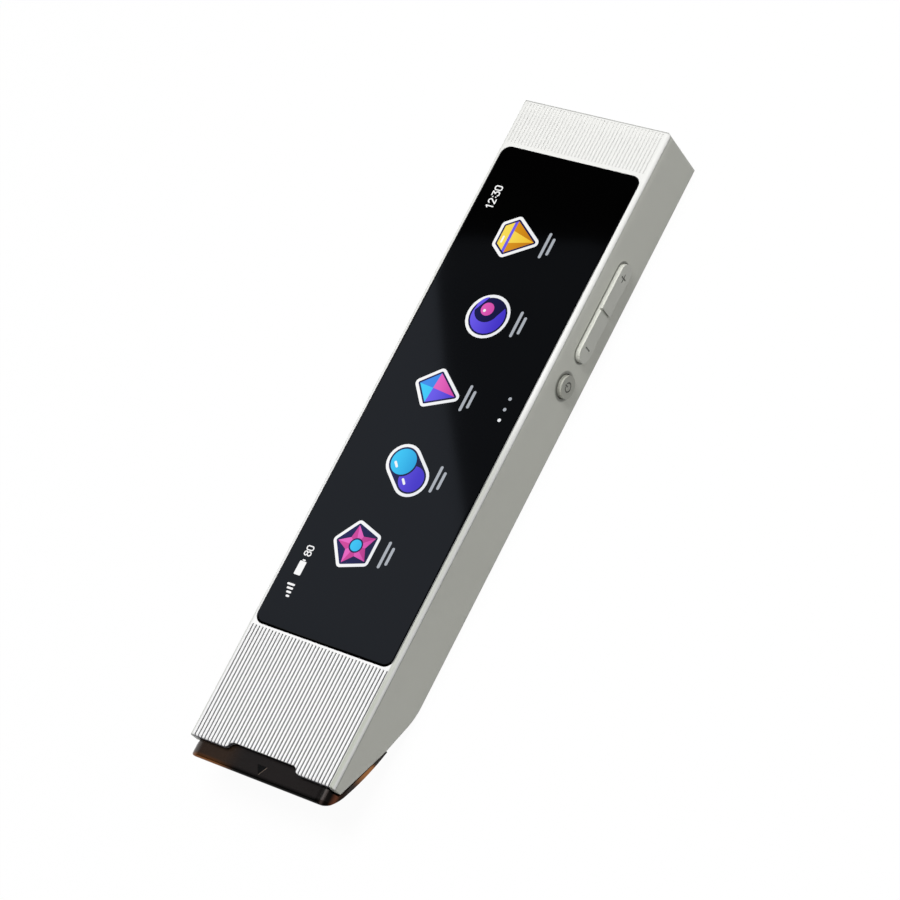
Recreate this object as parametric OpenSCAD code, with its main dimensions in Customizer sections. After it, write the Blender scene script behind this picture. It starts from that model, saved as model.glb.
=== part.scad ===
// Handheld scan translator: a flat bar with a glass front, ribbed ends, side keys and a
// smoked scan hood at the tip. +X runs from the tip to the rear, the keys are on the -Y side,
// +Z comes out of the screen, and the origin is under the middle of the whole length.

/* [Casing] */
// Length of the casing, from the cover's front edge to the rear end
casing_l = 134.75; // [122:0.05:148]
// Width of the casing
casing_w = 32.8; // [30:0.1:36]
// Height from the flat underside to the top of the glass
casing_h = 13.4; // [13.4:0.1:15]
// Thickness of the side walls
side_wall = 1.3; // [1.2:0.05:1.5]
// Thickness of the rear wall
rear_wall = 1.4; // [1.2:0.05:1.8]
// Thickness of the floor
floor_t = 1.2; // [1:0.05:1.4]
// Radius of the front edge of the cover
front_round = 0.4; // [0.1:0.05:0.45]
// Radius of the casing's lower edges
bottom_round = 0.75; // [0.7:0.05:1]
// Radius of the cover's upper edges
top_round = 0.8; // [0.4:0.05:0.8]
// Radius of the upright rear corners
rear_round = 0.8; // [0.4:0.05:1.2]
// Radius of the rear end's upper and lower edges
end_round = 0.55; // [0.2:0.05:0.6]

/* [Slanted front] */
// Distance from the cover's front edge to where the underside turns up
slant_l = 19.35; // [18.8:0.05:20]
// Angle of the slanted underside, in degrees
slant_angle = 23.3; // [22:0.1:24]
// Radius of the bend between the flat and the slanted underside
bend_r = 12; // [8:0.5:16]
// Depth of the side walls' front tips below the top of the glass
mouth_drop = 2.87; // [2.6:0.01:3]
// Angle of the side walls' lower edge over the hood, in degrees
mouth_angle = 30; // [29:0.1:31]
// Distance from the cover's front edge to the front edge of the floor
mouth_l = 11.45; // [11:0.05:12]

/* [Cover] */
// Thickness of the cover's rim and ribbed panels
cover_t = 0.8; // [0.7:0.05:0.9]
// Depth of the ledge under the glass
ledge_t = 0.8; // [0.6:0.05:1]
// Width of the case's outer lip at the seam
lap_w = 0.45; // [0.35:0.05:0.5]
// Height of the fine groove along the seam
seam_gap = 0.08; // [0.04:0.01:0.12]
// Running gap between the cover's ledge and the case
cover_gap = 0.05; // [0.03:0.01:0.1]
// Depth of the notch in the cover's front edge
notch_depth = 1.3; // [0.8:0.05:1.6]
// Width of the notch at its bottom
notch_w = 14.4; // [12:0.1:16]
// How far each end of the notch slants outward
notch_flare = 0.85; // [0.4:0.05:1.2]
// Size of the small flats that blunt the notch's corners
notch_blunt = 0.35; // [0.1:0.05:0.4]

/* [Ribs] */
// Spacing of the grooves
groove_pitch = 0.76; // [0.6:0.01:1.2]
// Smallest distance from the side of the casing to the middle of a groove
groove_edge = 1.1; // [1:0.05:2]
// Width of a groove at the surface
groove_w = 0.28; // [0.2:0.01:0.4]
// Width of a groove at its bottom
groove_floor_w = 0.2; // [0.1:0.01:0.2]
// Depth of the grooves in front of the glass
front_groove_depth = 0.32; // [0.15:0.01:0.4]
// Depth of the grooves behind the glass
rear_groove_depth = 0.16; // [0.1:0.01:0.3]
// Plain strip between the glass and the front grooves
front_groove_gap = 0.5; // [0.3:0.05:1]
// Plain strip between the glass and the rear grooves
rear_groove_gap = 0.9; // [0.5:0.05:1.2]
// Plain strip between the rear grooves and the rear end
end_groove_gap = 0.7; // [0.5:0.05:1]

/* [Glass and display] */
// Distance from the cover's front edge to the glass
front_margin = 23.1; // [21:0.05:26]
// Distance from the glass to the rear end
rear_margin = 10.15; // [9.5:0.05:11]
// Distance from the glass to the casing's sides
side_margin = 0.9; // [0.85:0.05:1.1]
// Thickness of the cover glass
glass_t = 0.8; // [0.7:0.05:0.9]
// Corner radius of the glass
glass_corner = 1.9; // [1:0.1:2.5]
// How far the glass stands above the cover
glass_proud = 0.1; // [0:0.02:0.15]
// Gap round the glass
glass_gap = 0.06; // [0.03:0.01:0.1]
// Width of the bevel round the top of the glass
glass_bevel_w = 0.7; // [0.3:0.05:1]
// Drop of that bevel
glass_bevel_h = 0.08; // [0.04:0.01:0.1]
// Border of the glass beyond each end of the display
end_border = 2.5; // [2.2:0.1:5]
// Border of the glass beside the display
side_border = 1.6; // [1.5:0.1:2.4]
// Thickness of the display panel
display_t = 2; // [1.6:0.1:2.1]

/* [Scan hood] */
// How far the hood reaches past the cover
hood_reach = 3.15; // [2.8:0.05:3.4]
// Radius of the curve of the hood's underside
hood_curve = 48; // [40:1:80]
// How far the middle of the hood's nose lies below the top of the glass
nose_drop = 1.9; // [1.8:0.05:2]
// Radius of the hood's nose
nose_round = 0.45; // [0.35:0.05:0.5]
// Radius of the hood's front corners, seen from above
hood_corner = 2.3; // [1.5:0.1:3]
// Radius of the hood's upper edges along its sides
hood_edge = 3.1; // [1:0.1:3.4]
// Thickness of the hood's skin
hood_skin = 1.1; // [0.9:0.05:1.2]
// How far the hood's sides lie behind the casing's sides
hood_inset = 0.1; // [0.05:0.01:0.2]
// Angle the hood tips up when pressed, in degrees
hood_press = 1.5; // [1:0.1:1.6]
// Smallest gap between hood and casing
hood_gap = 0.12; // [0.1:0.01:0.2]
// Height of the hood's skirts above the mouth
skirt_h = 2.4; // [2:0.1:2.6]
// Length of the scan window along the hood
window_l = 7; // [5:0.1:7.5]
// Width of the scan window
window_w = 23; // [18:0.5:24]
// Thickness of the scan window
window_t = 0.7; // [0.5:0.05:0.8]
// Radius of the hood's hinge pins
hood_pin_r = 0.75; // [0.6:0.05:0.8]

/* [Keys] */
// Height of the keys' centre line above the underside
key_z = 6.4; // [6.3:0.05:6.6]
// How far the keys stand out of the side
key_proud = 0.85; // [0.6:0.05:1]
// Gap round the keys
key_gap = 0.15; // [0.12:0.01:0.2]
// Length of the volume rocker
rocker_l = 20.5; // [18:0.1:21]
// Height of the volume rocker
rocker_h = 3.6; // [3.2:0.1:3.8]
// Distance from the rocker's middle to the rear end
rocker_from_end = 34.75; // [33.5:0.05:36]
// Distance between the rocker's two switches
rocker_switch_span = 15; // [13:0.5:16]
// Angle the rocker tips each way, in degrees
rocker_tip = 1.4; // [1:0.1:1.5]
// Diameter of the power key
power_d = 4.4; // [4:0.1:4.8]
// Distance between the power key and the rocker
key_spacing = 3.1; // [2.8:0.05:5]
// Travel of the power key
power_travel = 0.3; // [0.2:0.05:0.35]
// Depth of the marks engraved in the keys
mark_depth = 0.15; // [0.08:0.01:0.2]

/* [Boards and battery] */
// Thickness of the circuit boards
board_t = 0.8; // [0.6:0.1:1]
// Gap between the main board and the side walls
board_side_gap = 1.3; // [1.2:0.1:2]
// Height from the main board's underside to the chassis plate
board_room = 3.3; // [3.1:0.1:3.6]
// Distance from the main board to the battery
battery_lead_room = 3.5; // [3:0.5:8]
// Distance from the battery to the side wall opposite the keys
battery_side_gap = 2.5; // [1.5:0.1:6]
// Height from the battery to the chassis plate
battery_room = 1.2; // [0.8:0.1:2.5]
// Length of the bay behind the battery, for the USB board
rear_bay_l = 14.45; // [14:0.05:18]
// Thickness of the chassis plate
chassis_t = 0.8; // [0.6:0.1:0.9]
// Radius of the screws' shanks
screw_r = 0.65; // [0.5:0.05:0.7]

/* [Hidden] */
$fn = 64;
sides = [-1, 1];
// Farther out than any end of the part
reach = 150;

// Ends and heights of the casing
total_l = casing_l + hood_reach;
x_rear = total_l / 2;
x_front = x_rear - casing_l;
x_nose = -total_l / 2;
half_w = casing_w / 2;
inner_w = half_w - side_wall;
cover_top = casing_h - glass_proud;
seam_z = cover_top - cover_t;
glass_z = casing_h - glass_t;
tape_t = 0.1;
ledge_top = glass_z - tape_t;
ledge_z = ledge_top - ledge_t;
lap_half_w = half_w - lap_w;

// Slanted underside, and the mouth of the casing over the hood
kink_x = x_front + slant_l;
bend_x = kink_x + bend_r * tan(slant_angle / 2);
bend_steps = 5;
x_floor = x_front + mouth_l;
function slant_at(x) = (kink_x - x) * tan(slant_angle);
function mouth_at(x) = casing_h - mouth_drop - (x - x_front) * tan(mouth_angle);
// Top of the slanted floor inside the casing
function floor_at(x) = slant_at(x) + floor_t / cos(slant_angle);

// Grooves: as many as fit between the sides, with one in the middle
groove_count = 2 * floor((half_w - groove_edge) / groove_pitch) + 1;

// Glass, display and chassis
glass_l = casing_l - front_margin - rear_margin;
glass_w = casing_w - 2 * side_margin;
glass_x0 = x_front + front_margin;
glass_x1 = x_rear - rear_margin;
glass_cx = (glass_x0 + glass_x1) / 2;
display_l = glass_l - 2 * end_border;
display_w = glass_w - 2 * side_border;
display_z = glass_z - display_t;
display_x0 = glass_x0 + end_border;
display_x1 = glass_x1 - end_border;
display_side_gap = 0.2;
display_end_gap = 1.1;
pad_t = 0.5;
pad_w = 3;
chassis_z = display_z - pad_t - chassis_t;
chassis_gap = 0.5;
chassis_shift = 2.5;
// Cut-outs in the chassis plate: number, size and corner radius
cutout_count = 4;
cutout_size = [14, 10];
cutout_r = 2;
pad_x0 = display_x0 + 6;
pad_x1 = display_x1 - 4;
pad_inset = 2;
ledge_x0 = glass_x0 - 1.2;

// Ledges on the side walls that carry the chassis
chassis_ledge_xs = [for (i = [0, 0.28, 0.95]) pad_x0 + i * (display_l - 4)];
chassis_ledge = [5, 0.9, 1.4];

// Snap hooks of the cover
hook_count = 4;
hook_xs = [for (i = [0 : hook_count - 1]) glass_x0 + glass_l * (i + 0.5) / hook_count];
hook_size = [4, 0.7, 1.4];
hook_gap = 0.1;
barb_reach = 0.35;
barb_h = 0.6;
catch_depth = 0.5;

// Keys, from the side wall inward
rocker_x = x_rear - rocker_from_end;
power_x = rocker_x - (rocker_l + power_d) / 2 - key_spacing;
key_face_y = -(half_w + key_proud);
flange_margin = 0.5;
flange_t = 1;
power_room = 0.08;
flange_half_l = rocker_l / 2 + flange_margin;
flange_half_h = rocker_h / 2 + flange_margin;
// The rocker's flange clears the wall when the rocker tips
rocker_room = flange_half_l * sin(rocker_tip) + 0.095;
rocker_flange_y = -(inner_w - rocker_room);
power_flange_y = -(inner_w - power_room);
power_flange_r = power_d / 2 + 0.6;
pin_r = 0.4;
pin_gap = 0.05;
boss_r = 1;
pin_y = rocker_flange_y + flange_t / 2 + 0.3;
plunger_r = 0.5;
plunger_gap = 0.15;
plunger_tip_y = rocker_flange_y + flange_t + 0.75;
switch_size = [3.2, 1.2, 3.2];
plunger_entry = 0.2;
switch_y = plunger_tip_y - plunger_entry;
switch_bore = plunger_entry + power_travel + 0.4;
switch_xs = [rocker_x - rocker_switch_span / 2, rocker_x + rocker_switch_span / 2, power_x];
key_board_t = 0.6;
key_board_y = switch_y + switch_size[1];
bracket_t = 0.8;
bracket_y = key_board_y + key_board_t;
ear_gap = 0.1;
ear_rim = 0.5;
bracket_ear = [3.2, 0.8];
bracket_top = chassis_z - 0.05;
bracket_bottom = key_z - flange_half_h - ear_gap - bracket_ear[1];
lug_half_l = 1.5;
lug_y = -(inner_w - 2.1);
lug_xs = [power_x - power_flange_r - 2, rocker_x + flange_half_l + 2];

// Camera, just behind the hood
cam_x = x_floor + 4.75;
cam_z = seam_z - 4.6;
cam_tilt = 12;
cam_size = [4, 7.5, 5.6];
cam_board_t = 0.5;
barrel_r = 2.5;
barrel_l = 3.2;
barrel_gap = 0.05;
lens_r = 1.6;
lens_t = 0.4;
lens_recess = 0.3;
holder_wall = 1.1;
holder_z = 4;
holder_t = 1;
holder_x0 = cam_x - 0.9;
holder_x1 = cam_x + 5;
holder_half_w = inner_w - 3.6;
cam_post_x = cam_x + 3;
cam_post_y = holder_half_w - 2.5;

// Main board between the camera and the key bracket, then battery and rear bay
bed_t = 0.3;
board_x0 = holder_x1 + 0.6;
board_x1 = lug_xs[0] - lug_half_l - 0.35;
board_w = 2 * (inner_w - board_side_gap);
board_z = chassis_z - board_room;
board_top = board_z + board_t;
battery_x0 = board_x1 + battery_lead_room;
battery_x1 = x_rear - rear_bay_l;
battery_y0 = bracket_y + bracket_t + 0.7;
battery_y1 = inner_w - battery_side_gap;
battery_round = 1.5;
battery_z = floor_t + bed_t;
battery_top = chassis_z - battery_room;
battery_tape_w = 6;
battery_tape_inset = 3;
antenna_inset = 4;
post_r = 1.8;
post_inset = 3;
pilot_gap = 0.05;
hole_gap = 0.15;
screw_head_r = 1.25;
screw_head_h = 0.5;
screw_l = 3;
board_post_xs = [board_x0 + post_inset, board_x1 - post_inset];
board_post_y = board_w / 2 - post_inset;

// Connectors on the main board: place, length and width of each
connector_h = 0.8;
connector_top = board_top + connector_h;
flex_t = 0.15;
flex_lap = 0.8;
// The display's flex reaches this far under the panel, and loops this far past its plug
flex_bond = 2;
flex_loop = 0.9;
display_plug = [board_x0 + 4.5, 0, 3, 10];
led_plug = [board_x0 + 1.6, 7.2, 2, 4];
camera_plug = [board_x0 + 1.6, -6, 2, 4];
usb_plug = [board_x1 - 4.5, 0, 2.5, 6];
battery_plug = [board_x1 - 2, battery_y0 + 4.4, 3, 4];
key_plug = [board_x1 - 7, 2.2 - board_w / 2, 3, 1.6];

// Shield can over the front chips
can_size = [18, 20, 2];
can_wall = 0.2;
can_x = plug_edge(display_plug, 1) + 2 + can_size[0] / 2;

// Chips: place, length, width and height, under the can and behind it
can_chips = [[can_x - 2.8, 3.6, 9, 9, 1], [can_x - 2.8, -5.2, 9, 7, 0.9], [can_x + 5, 0, 4, 8, 0.8]];
rear_chips = [[board_x1 - 11, 8, 6, 6, 0.9], [board_x1 - 12, -6, 5, 5, 0.9], [board_x1 - 12, 2, 4, 3, 1]];

// USB-C socket, its board and the microphones
usb_w = 8.94;
usb_h = 3.16;
usb_shell_t = 0.3;
usb_l = 7.3;
usb_recess = 0.1;
usb_hole_gap = 0.1;
tongue_w = 6.69;
tongue_t = 0.7;
tongue_recess = 0.6;
usb_board_top = key_z - usb_h / 2;
usb_board_x0 = battery_x1 + 1.5;
usb_board_x1 = x_rear - rear_wall - 0.3;
usb_board_w = 2 * (inner_w - 3.1);
usb_post_x = usb_board_x0 + 2.5;
usb_post_y = usb_board_w / 2 - post_inset;
usb_board_plug = [usb_board_x0 + 2.6, 0, 2.4, 6];
mic_y = usb_board_w / 2 - 2.5;
mic_size = [2.6, 2, 1];
mic_hole_r = 0.4;

// Speaker on the floor under the main board
speaker_size = [20, 15];
speaker_x = board_x1 - 4 - speaker_size[0] / 2;
speaker_top = board_z - 1.2;
gasket_rim = 1.2;
mesh_t = 0.1;
slot_count = 7;
slot_pitch = 2.2;
slot_size = [1, 8];

// Marks engraved in the keys
mark_line = 0.3;
plus_size = 1.7;
power_mark_r = 0.85;
vee_w = 0.5;

// Hood, seen from the side
nose_z = casing_h - nose_drop;
hood_top = nose_z + nose_round;
hood_half_w = half_w - hood_inset;
plug_half_w = inner_w - hood_gap;
hollow_half_w = plug_half_w - hood_skin;
lip_t = 1;
lip_x = x_front + notch_depth + 2.2;
hood_x1 = x_floor - hood_gap;
nose = [x_nose + nose_round, nose_z];
tail = [hood_x1, slant_at(hood_x1)];
// The underside's circle passes through the tail and touches the nose's circle
nose_to_tail = tail - nose;
tail_d = norm(nose_to_tail);
tail_u = nose_to_tail / tail_d;
nose_arc_r = hood_curve - nose_round;
arc_a = (nose_arc_r * nose_arc_r - hood_curve * hood_curve + tail_d * tail_d) / (2 * tail_d);
arc_b = sqrt(nose_arc_r * nose_arc_r - arc_a * arc_a);
curve_c = nose + arc_a * tail_u + arc_b * [-tail_u[1], tail_u[0]];
nose_dir = (nose - curve_c) / nose_arc_r;
ear_r = 1.4;
ear_room = 0.35;
ear_t = hood_skin + 0.5;
arm_drop = 0.5;
hinge_x = x_floor + 2.2;
hinge_z = floor_at(hinge_x) + (ear_r + ear_room) / cos(slant_angle);
hood_pin_gap = 0.05;
pin_in_wall = 0.6;
pin_post_t = 1;
pin_post_y1 = plug_half_w - ear_t - 0.18;
pin_post_y0 = pin_post_y1 - pin_post_t;
hood_front_gap = 2 * hood_gap + (hood_top - hinge_z) * sin(hood_press);
hood_front_wall = 1.6;
arrow_l = 1.75;
arrow_w = 2.1;
arrow_x = x_nose + 0.9;
arrow_depth = 0.1;

// Window, springs and switch shelf in the hood
window_angle = asin((hood_x1 - 6 - curve_c[0]) / hood_curve);
window_recess = 0.25;
window_gap = 0.03;
spring_x = hood_x1 - 5.5;
spring_y = hollow_half_w - 1.3;
spring_r = 0.85;
spring_wire_r = 0.15;
spring_turns = 5;
// Steps round each turn of the coil, and sides of its wire
turn_steps = 12;
wire_sides = 6;
seat_r = 1.2;
spring_h = 4.8;
seat_z = seam_z - spring_h;
shelf_x = hood_x1 - 2.7;
shelf_size = [2, 1.8, 1];

// LED board under the cover
led_pad_t = 0.4;
led_board_z = seam_z - led_pad_t - board_t;
led_board_x0 = lip_x + 0.7;
led_board_x1 = hood_x1 - 0.5;
led_board_half_w = hollow_half_w - 2.7;
led_pad_w = 2;
led_pad_inset = 1.5;
led_ys = [3.7, 8.1];
led_size = [1.2, 2, 0.7];
led_x = led_board_x0 + 1.3;
guide_size = [2.2, 8.4, 0.8];
guide_y = 5.9;
guide_leg = 0.6;
hood_switch_size = [2.6, 2.4, 1.4];
hood_switch_y = led_board_half_w - 1.3;
hood_switch_z = led_board_z - hood_switch_size[2];
hood_plunger_gap = 0.25;
shelf_z = hood_switch_z - 2.3;

// ---- Shapes used more than once ----

// Box from corner to corner
module span(a, b) {
    translate(a) cube(b - a);
}

// Rectangle with rounded corners, centred
module rounded_rect(size, r) {
    square([size[0] - 2 * r, size[1]], center = true);
    square([size[0], size[1] - 2 * r], center = true);
    for (i = sides, j = sides)
        translate([i * (size[0] / 2 - r), j * (size[1] / 2 - r)]) circle(r);
}

// Turns a drawing in x and z into a bar across the part, of half width w
module across(w) {
    rotate([90, 0, 0]) linear_extrude(2 * w, center = true) children();
}

// Turns a drawing in x and z into a slab from y0 to y1
module slab_y(y0, y1) {
    translate([0, y1, 0]) rotate([90, 0, 0]) linear_extrude(y1 - y0) children();
}

// Turns a drawing in y and z into a bar from x0 to x1
module slab_x(x0, x1) {
    translate([x0, 0, 0]) rotate([90, 0, 90]) linear_extrude(x1 - x0) children();
}

// Tips what lies on the floor plane round the underside's bend
module tipped(a) {
    translate([bend_x, 0, bend_r]) rotate([0, a, 0]) translate([0, 0, -bend_r]) children();
}

// Round rod or bore along y, on both sides of the part
module both_sides_y(x, z, r, y0, y1) {
    for (s = sides)
        translate([x, s * (y0 + y1) / 2, z]) rotate([90, 0, 0]) cylinder(y1 - y0, r, r, center = true);
}

// Pan-head screw whose head stands on z
module screw(x, y, z) {
    translate([x, y, z]) cylinder(screw_head_h, screw_head_r, screw_head_r);
    translate([x, y, z - screw_l]) cylinder(screw_l, screw_r, screw_r);
}

// Low box on a board, from [x, y, length, width]
module board_box(place, z, h) {
    translate([place[0] - place[2] / 2, place[1] - place[3] / 2, z]) cube([place[2], place[3], h]);
}

// Strip connector's footprint edge toward the front or the rear
function plug_edge(place, s) = place[0] + s * place[2] / 2;

// ---- Outer form of the casing ----

// Long bar with rounded lower edges, its underside on the floor plane
module keel() {
    slab_x(-reach, reach) {
        translate([-half_w, bottom_round]) square([casing_w, reach]);
        translate([-half_w + bottom_round, 0]) square([casing_w - 2 * bottom_round, reach]);
        for (s = sides) translate([s * (half_w - bottom_round), bottom_round]) circle(bottom_round);
    }
}

// Cross-section of the casing
module casing_section() {
    low_half = half_w - bottom_round;
    high_half = half_w - top_round;
    translate([-half_w, bottom_round]) square([casing_w, cover_top - bottom_round - top_round]);
    translate([-low_half, 0]) square([2 * low_half, cover_top / 2]);
    translate([-high_half, cover_top / 2]) square([2 * high_half, cover_top / 2]);
    for (s = sides) {
        translate([s * low_half, bottom_round]) circle(bottom_round);
        translate([s * high_half, cover_top - top_round]) circle(top_round);
    }
}

// Side view of the casing: rounded rear edges and a rounded front edge of the cover
module casing_side() {
    translate([x_front, 0]) square([casing_l / 2, cover_top - front_round]);
    translate([x_front + front_round, 0]) square([casing_l / 2, cover_top]);
    translate([x_front + front_round, cover_top - front_round]) circle(front_round);
    translate([0, 0]) square([x_rear - end_round, cover_top]);
    translate([0, end_round]) square([x_rear, cover_top - 2 * end_round]);
    for (z = [end_round, cover_top - end_round]) translate([x_rear - end_round, z]) circle(end_round);
}

// Top view of the casing with its rounded rear corners
module casing_plan() {
    translate([x_front, -half_w]) square([casing_l - rear_round, casing_w]);
    translate([0, -half_w + rear_round]) square([x_rear, casing_w - 2 * rear_round]);
    for (s = sides)
        translate([x_rear - rear_round, s * (half_w - rear_round)]) circle(rear_round);
}

// Whole outer form of case and cover
module casing_form() {
    intersection() {
        slab_x(x_front, x_rear) casing_section();
        across(half_w + 1) casing_side();
        linear_extrude(casing_h) casing_plan();
        for_each_bend() keel();
    }
}

// What its child leaves after each step of the underside's bend
module for_each_bend() {
    intersection_for (i = [0 : bend_steps]) tipped(slant_angle * i / bend_steps) children();
}

// ---- Case ----

// Room inside the case, above the flat and the slanted floor, and all in front of the floor
module case_cavity() {
    intersection() {
        span([x_front - 1, -inner_w, -1], [x_rear - rear_wall, inner_w, casing_h]);
        union() {
            for_each_bend() span([-reach, -half_w, floor_t], [reach, half_w, reach]);
            span([x_front - 2, -half_w, -2], [x_floor, half_w, reach]);
        }
    }
}

// Posts and ledges that stand in the case
module case_posts() {
    for (x = board_post_xs, s = sides)
        translate([x, s * board_post_y, 0]) cylinder(board_z, post_r, post_r);
    for (s = sides) {
        translate([usb_post_x, s * usb_post_y, 0]) cylinder(usb_board_top - board_t, post_r, post_r);
        translate([cam_post_x, s * cam_post_y, 0]) cylinder(holder_z, post_r, post_r);
    }
    for (x = lug_xs)
        translate([x, lug_y, 0]) cylinder(board_z, lug_half_l, lug_half_l);
    for (x = chassis_ledge_xs, s = sides)
        translate([x - chassis_ledge[0] / 2, s * (inner_w - chassis_ledge[1] / 2) - chassis_ledge[1] / 2,
            chassis_z - chassis_ledge[2]]) cube(chassis_ledge);
    for (s = sides)
        translate([hinge_x - ear_r, s * (pin_post_y0 + pin_post_t / 2) - pin_post_t / 2, 0])
            cube([2 * ear_r, pin_post_t, hinge_z + ear_r]);
}

// Pilot bores for the screws in the posts
module pilot_bores() {
    r = screw_r + pilot_gap;
    depth = screw_l - board_t + 0.2;
    for (x = board_post_xs, s = sides)
        translate([x, s * board_post_y, board_z - depth]) cylinder(depth + 1, r, r);
    for (s = sides) {
        translate([usb_post_x, s * usb_post_y, usb_board_top - board_t - depth])
            cylinder(depth + 1, r, r);
        translate([cam_post_x, s * cam_post_y, holder_z + holder_t - screw_l]) cylinder(screw_l, r, r);
    }
    for (x = lug_xs) translate([x, lug_y, board_z - depth]) cylinder(depth + 1, r, r);
}

// Everything below the mouth line of the side walls
module mouth_cut() {
    x0 = x_front - 1;
    across(half_w + 1)
        polygon([[x0, -1], [x_floor, -1], [x_floor, mouth_at(x_floor)], [x0, mouth_at(x0)]]);
}

// Openings for the keys, the USB socket, the microphones and the speaker
module case_openings() {
    slab_y(-half_w - 1, -inner_w + 0.5) {
        translate([rocker_x, key_z])
            rounded_rect([rocker_l + 2 * key_gap, rocker_h + 2 * key_gap], rocker_h / 2 + key_gap - 0.01);
        translate([power_x, key_z]) circle(power_d / 2 + key_gap);
    }
    slab_x(x_rear - rear_wall - 0.5, x_rear + 1) {
        translate([0, key_z])
            rounded_rect([usb_w, usb_h] + 2 * usb_hole_gap * [1, 1], usb_h / 2 + usb_hole_gap - 0.01);
        for (s = sides) translate([s * mic_y, usb_board_top + mic_size[2] / 2]) circle(mic_hole_r);
    }
    for (i = [0 : slot_count - 1])
        translate([speaker_x + (i - (slot_count - 1) / 2) * slot_pitch, 0, -1])
            linear_extrude(floor_t + 2) rounded_rect(slot_size, slot_size[0] / 2 - 0.01);
}

// Pockets in the side walls that hold the cover's hooks
module catch_pockets() {
    z1 = ledge_z - hook_size[2] + barb_h + 0.15;
    for (x = hook_xs, s = sides)
        translate([x - hook_size[0] / 2 - 0.1, s * (inner_w + catch_depth / 2) - catch_depth / 2 - 0.01,
            z1 - barb_h - 0.2]) cube([hook_size[0] + 0.2, catch_depth + 0.02, barb_h + 0.2]);
}

module case_shell() {
    color("#a2a199") difference() {
        intersection() {
            casing_form();
            span([x_front - 1, -half_w - 1, -1], [x_rear + 1, half_w + 1, seam_z - seam_gap]);
        }
        difference() {
            case_cavity();
            case_posts();
        }
        mouth_cut();
        span([x_front - 1, -lap_half_w, ledge_z], [x_rear - lap_w, lap_half_w, casing_h]);
        case_openings();
        pilot_bores();
        catch_pockets();
        both_sides_y(hinge_x, hinge_z, hood_pin_r, pin_post_y0 - 0.5, inner_w + pin_in_wall);
    }
}

// ---- Cover, glass and display ----

// Row of grooves from x0 to x1, as one comb
module grooves(x0, x1, depth) {
    first = -(groove_count - 1) / 2 * groove_pitch;
    teeth = [for (i = [0 : groove_count - 1], p = [[-groove_w / 2, 0], [-groove_floor_w / 2, -depth],
        [groove_floor_w / 2, -depth], [groove_w / 2, 0]]) [first + i * groove_pitch, 0] + p];
    slab_x(x0, x1) translate([0, cover_top])
        polygon(concat([[first - 1, 1], [first - 1, 0]], teeth, [[1 - first, 0], [1 - first, 1]]));
}

// One snap hook at x on the +Y side
module snap_hook(x) {
    y1 = inner_w - hook_gap;
    z0 = ledge_z - hook_size[2];
    slab_x(x - hook_size[0] / 2, x + hook_size[0] / 2) {
        translate([y1 - hook_size[1], z0]) square([hook_size[1], hook_size[2] + ledge_t / 2]);
        polygon([[y1, z0], [y1 + barb_reach, z0 + barb_h - 0.2], [y1 + barb_reach, z0 + barb_h],
            [y1, z0 + barb_h]]);
    }
}

module top_cover() {
    ring_w = lap_half_w - cover_gap;
    color("#bfbeb8") difference() {
        union() {
            intersection() {
                casing_form();
                span([x_front - 1, -half_w - 1, seam_z], [x_rear + 1, half_w + 1, casing_h]);
            }
            difference() {
                span([x_front, -ring_w, ledge_z], [x_rear - lap_w - cover_gap, ring_w, seam_z + 0.2]);
                span([x_front - 1, -inner_w, 0], [ledge_x0, inner_w, seam_z]);
            }
            for (x = hook_xs) {
                snap_hook(x);
                mirror([0, 1, 0]) snap_hook(x);
            }
            for (x = [led_board_x0 + led_pad_inset, led_board_x1 - led_pad_inset], s = sides)
                board_box([x, s * (led_board_half_w - led_pad_inset), led_pad_w, led_pad_w],
                    seam_z - led_pad_t, led_pad_t + 0.2);
        }
        translate([glass_cx, 0, ledge_top]) linear_extrude(reach)
            rounded_rect([glass_l, glass_w] + 2 * glass_gap * [1, 1], glass_corner + glass_gap);
        span([display_x0 - display_end_gap, -display_w / 2 - display_side_gap, 0],
            [display_x1 + display_end_gap, display_w / 2 + display_side_gap, casing_h]);
        grooves(x_front - 1, glass_x0 - front_groove_gap, front_groove_depth);
        grooves(glass_x1 + rear_groove_gap, x_rear - end_groove_gap, rear_groove_depth);
        notch();
    }
}

// Notch in the cover's front edge
module notch() {
    mouth = notch_w / 2 + notch_flare;
    along = notch_blunt / norm([notch_depth, notch_flare]) * [notch_depth, notch_flare];
    right = [[-1, mouth + notch_blunt], [0, mouth + notch_blunt], [along[0], mouth - along[1]],
        [notch_depth - along[0], notch_w / 2 + along[1]], [notch_depth, notch_w / 2 - notch_blunt]];
    left = [for (i = [4 : -1 : 0]) [right[i][0], -right[i][1]]];
    translate([x_front, 0, seam_z - 1]) linear_extrude(reach) polygon(concat(right, left));
}

// Cross-section of a plate of width w with bevelled upper edges
module bevelled_plate(w) {
    side_h = glass_t - glass_bevel_h;
    polygon([[-w / 2, 0], [w / 2, 0], [w / 2, side_h], [w / 2 - glass_bevel_w, glass_t],
        [glass_bevel_w - w / 2, glass_t], [-w / 2, side_h]]);
}

module cover_glass() {
    color("#17191c") translate([glass_cx, 0, glass_z]) intersection() {
        linear_extrude(glass_t) rounded_rect([glass_l, glass_w], glass_corner);
        across(half_w) bevelled_plate(glass_l);
        slab_x(-glass_l / 2, glass_l / 2) bevelled_plate(glass_w);
    }
}

module glass_tape() {
    color("#202020") translate([glass_cx, 0, ledge_top]) linear_extrude(tape_t) difference() {
        rounded_rect([glass_l, glass_w] - 0.4 * [1, 1], glass_corner - 0.2);
        square([display_l + 2 * display_end_gap, display_w + 2 * display_side_gap], center = true);
    }
}

module display_panel() {
    color("#0b0c10") span([display_x0, -display_w / 2, display_z], [display_x1, display_w / 2, glass_z]);
}

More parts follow.
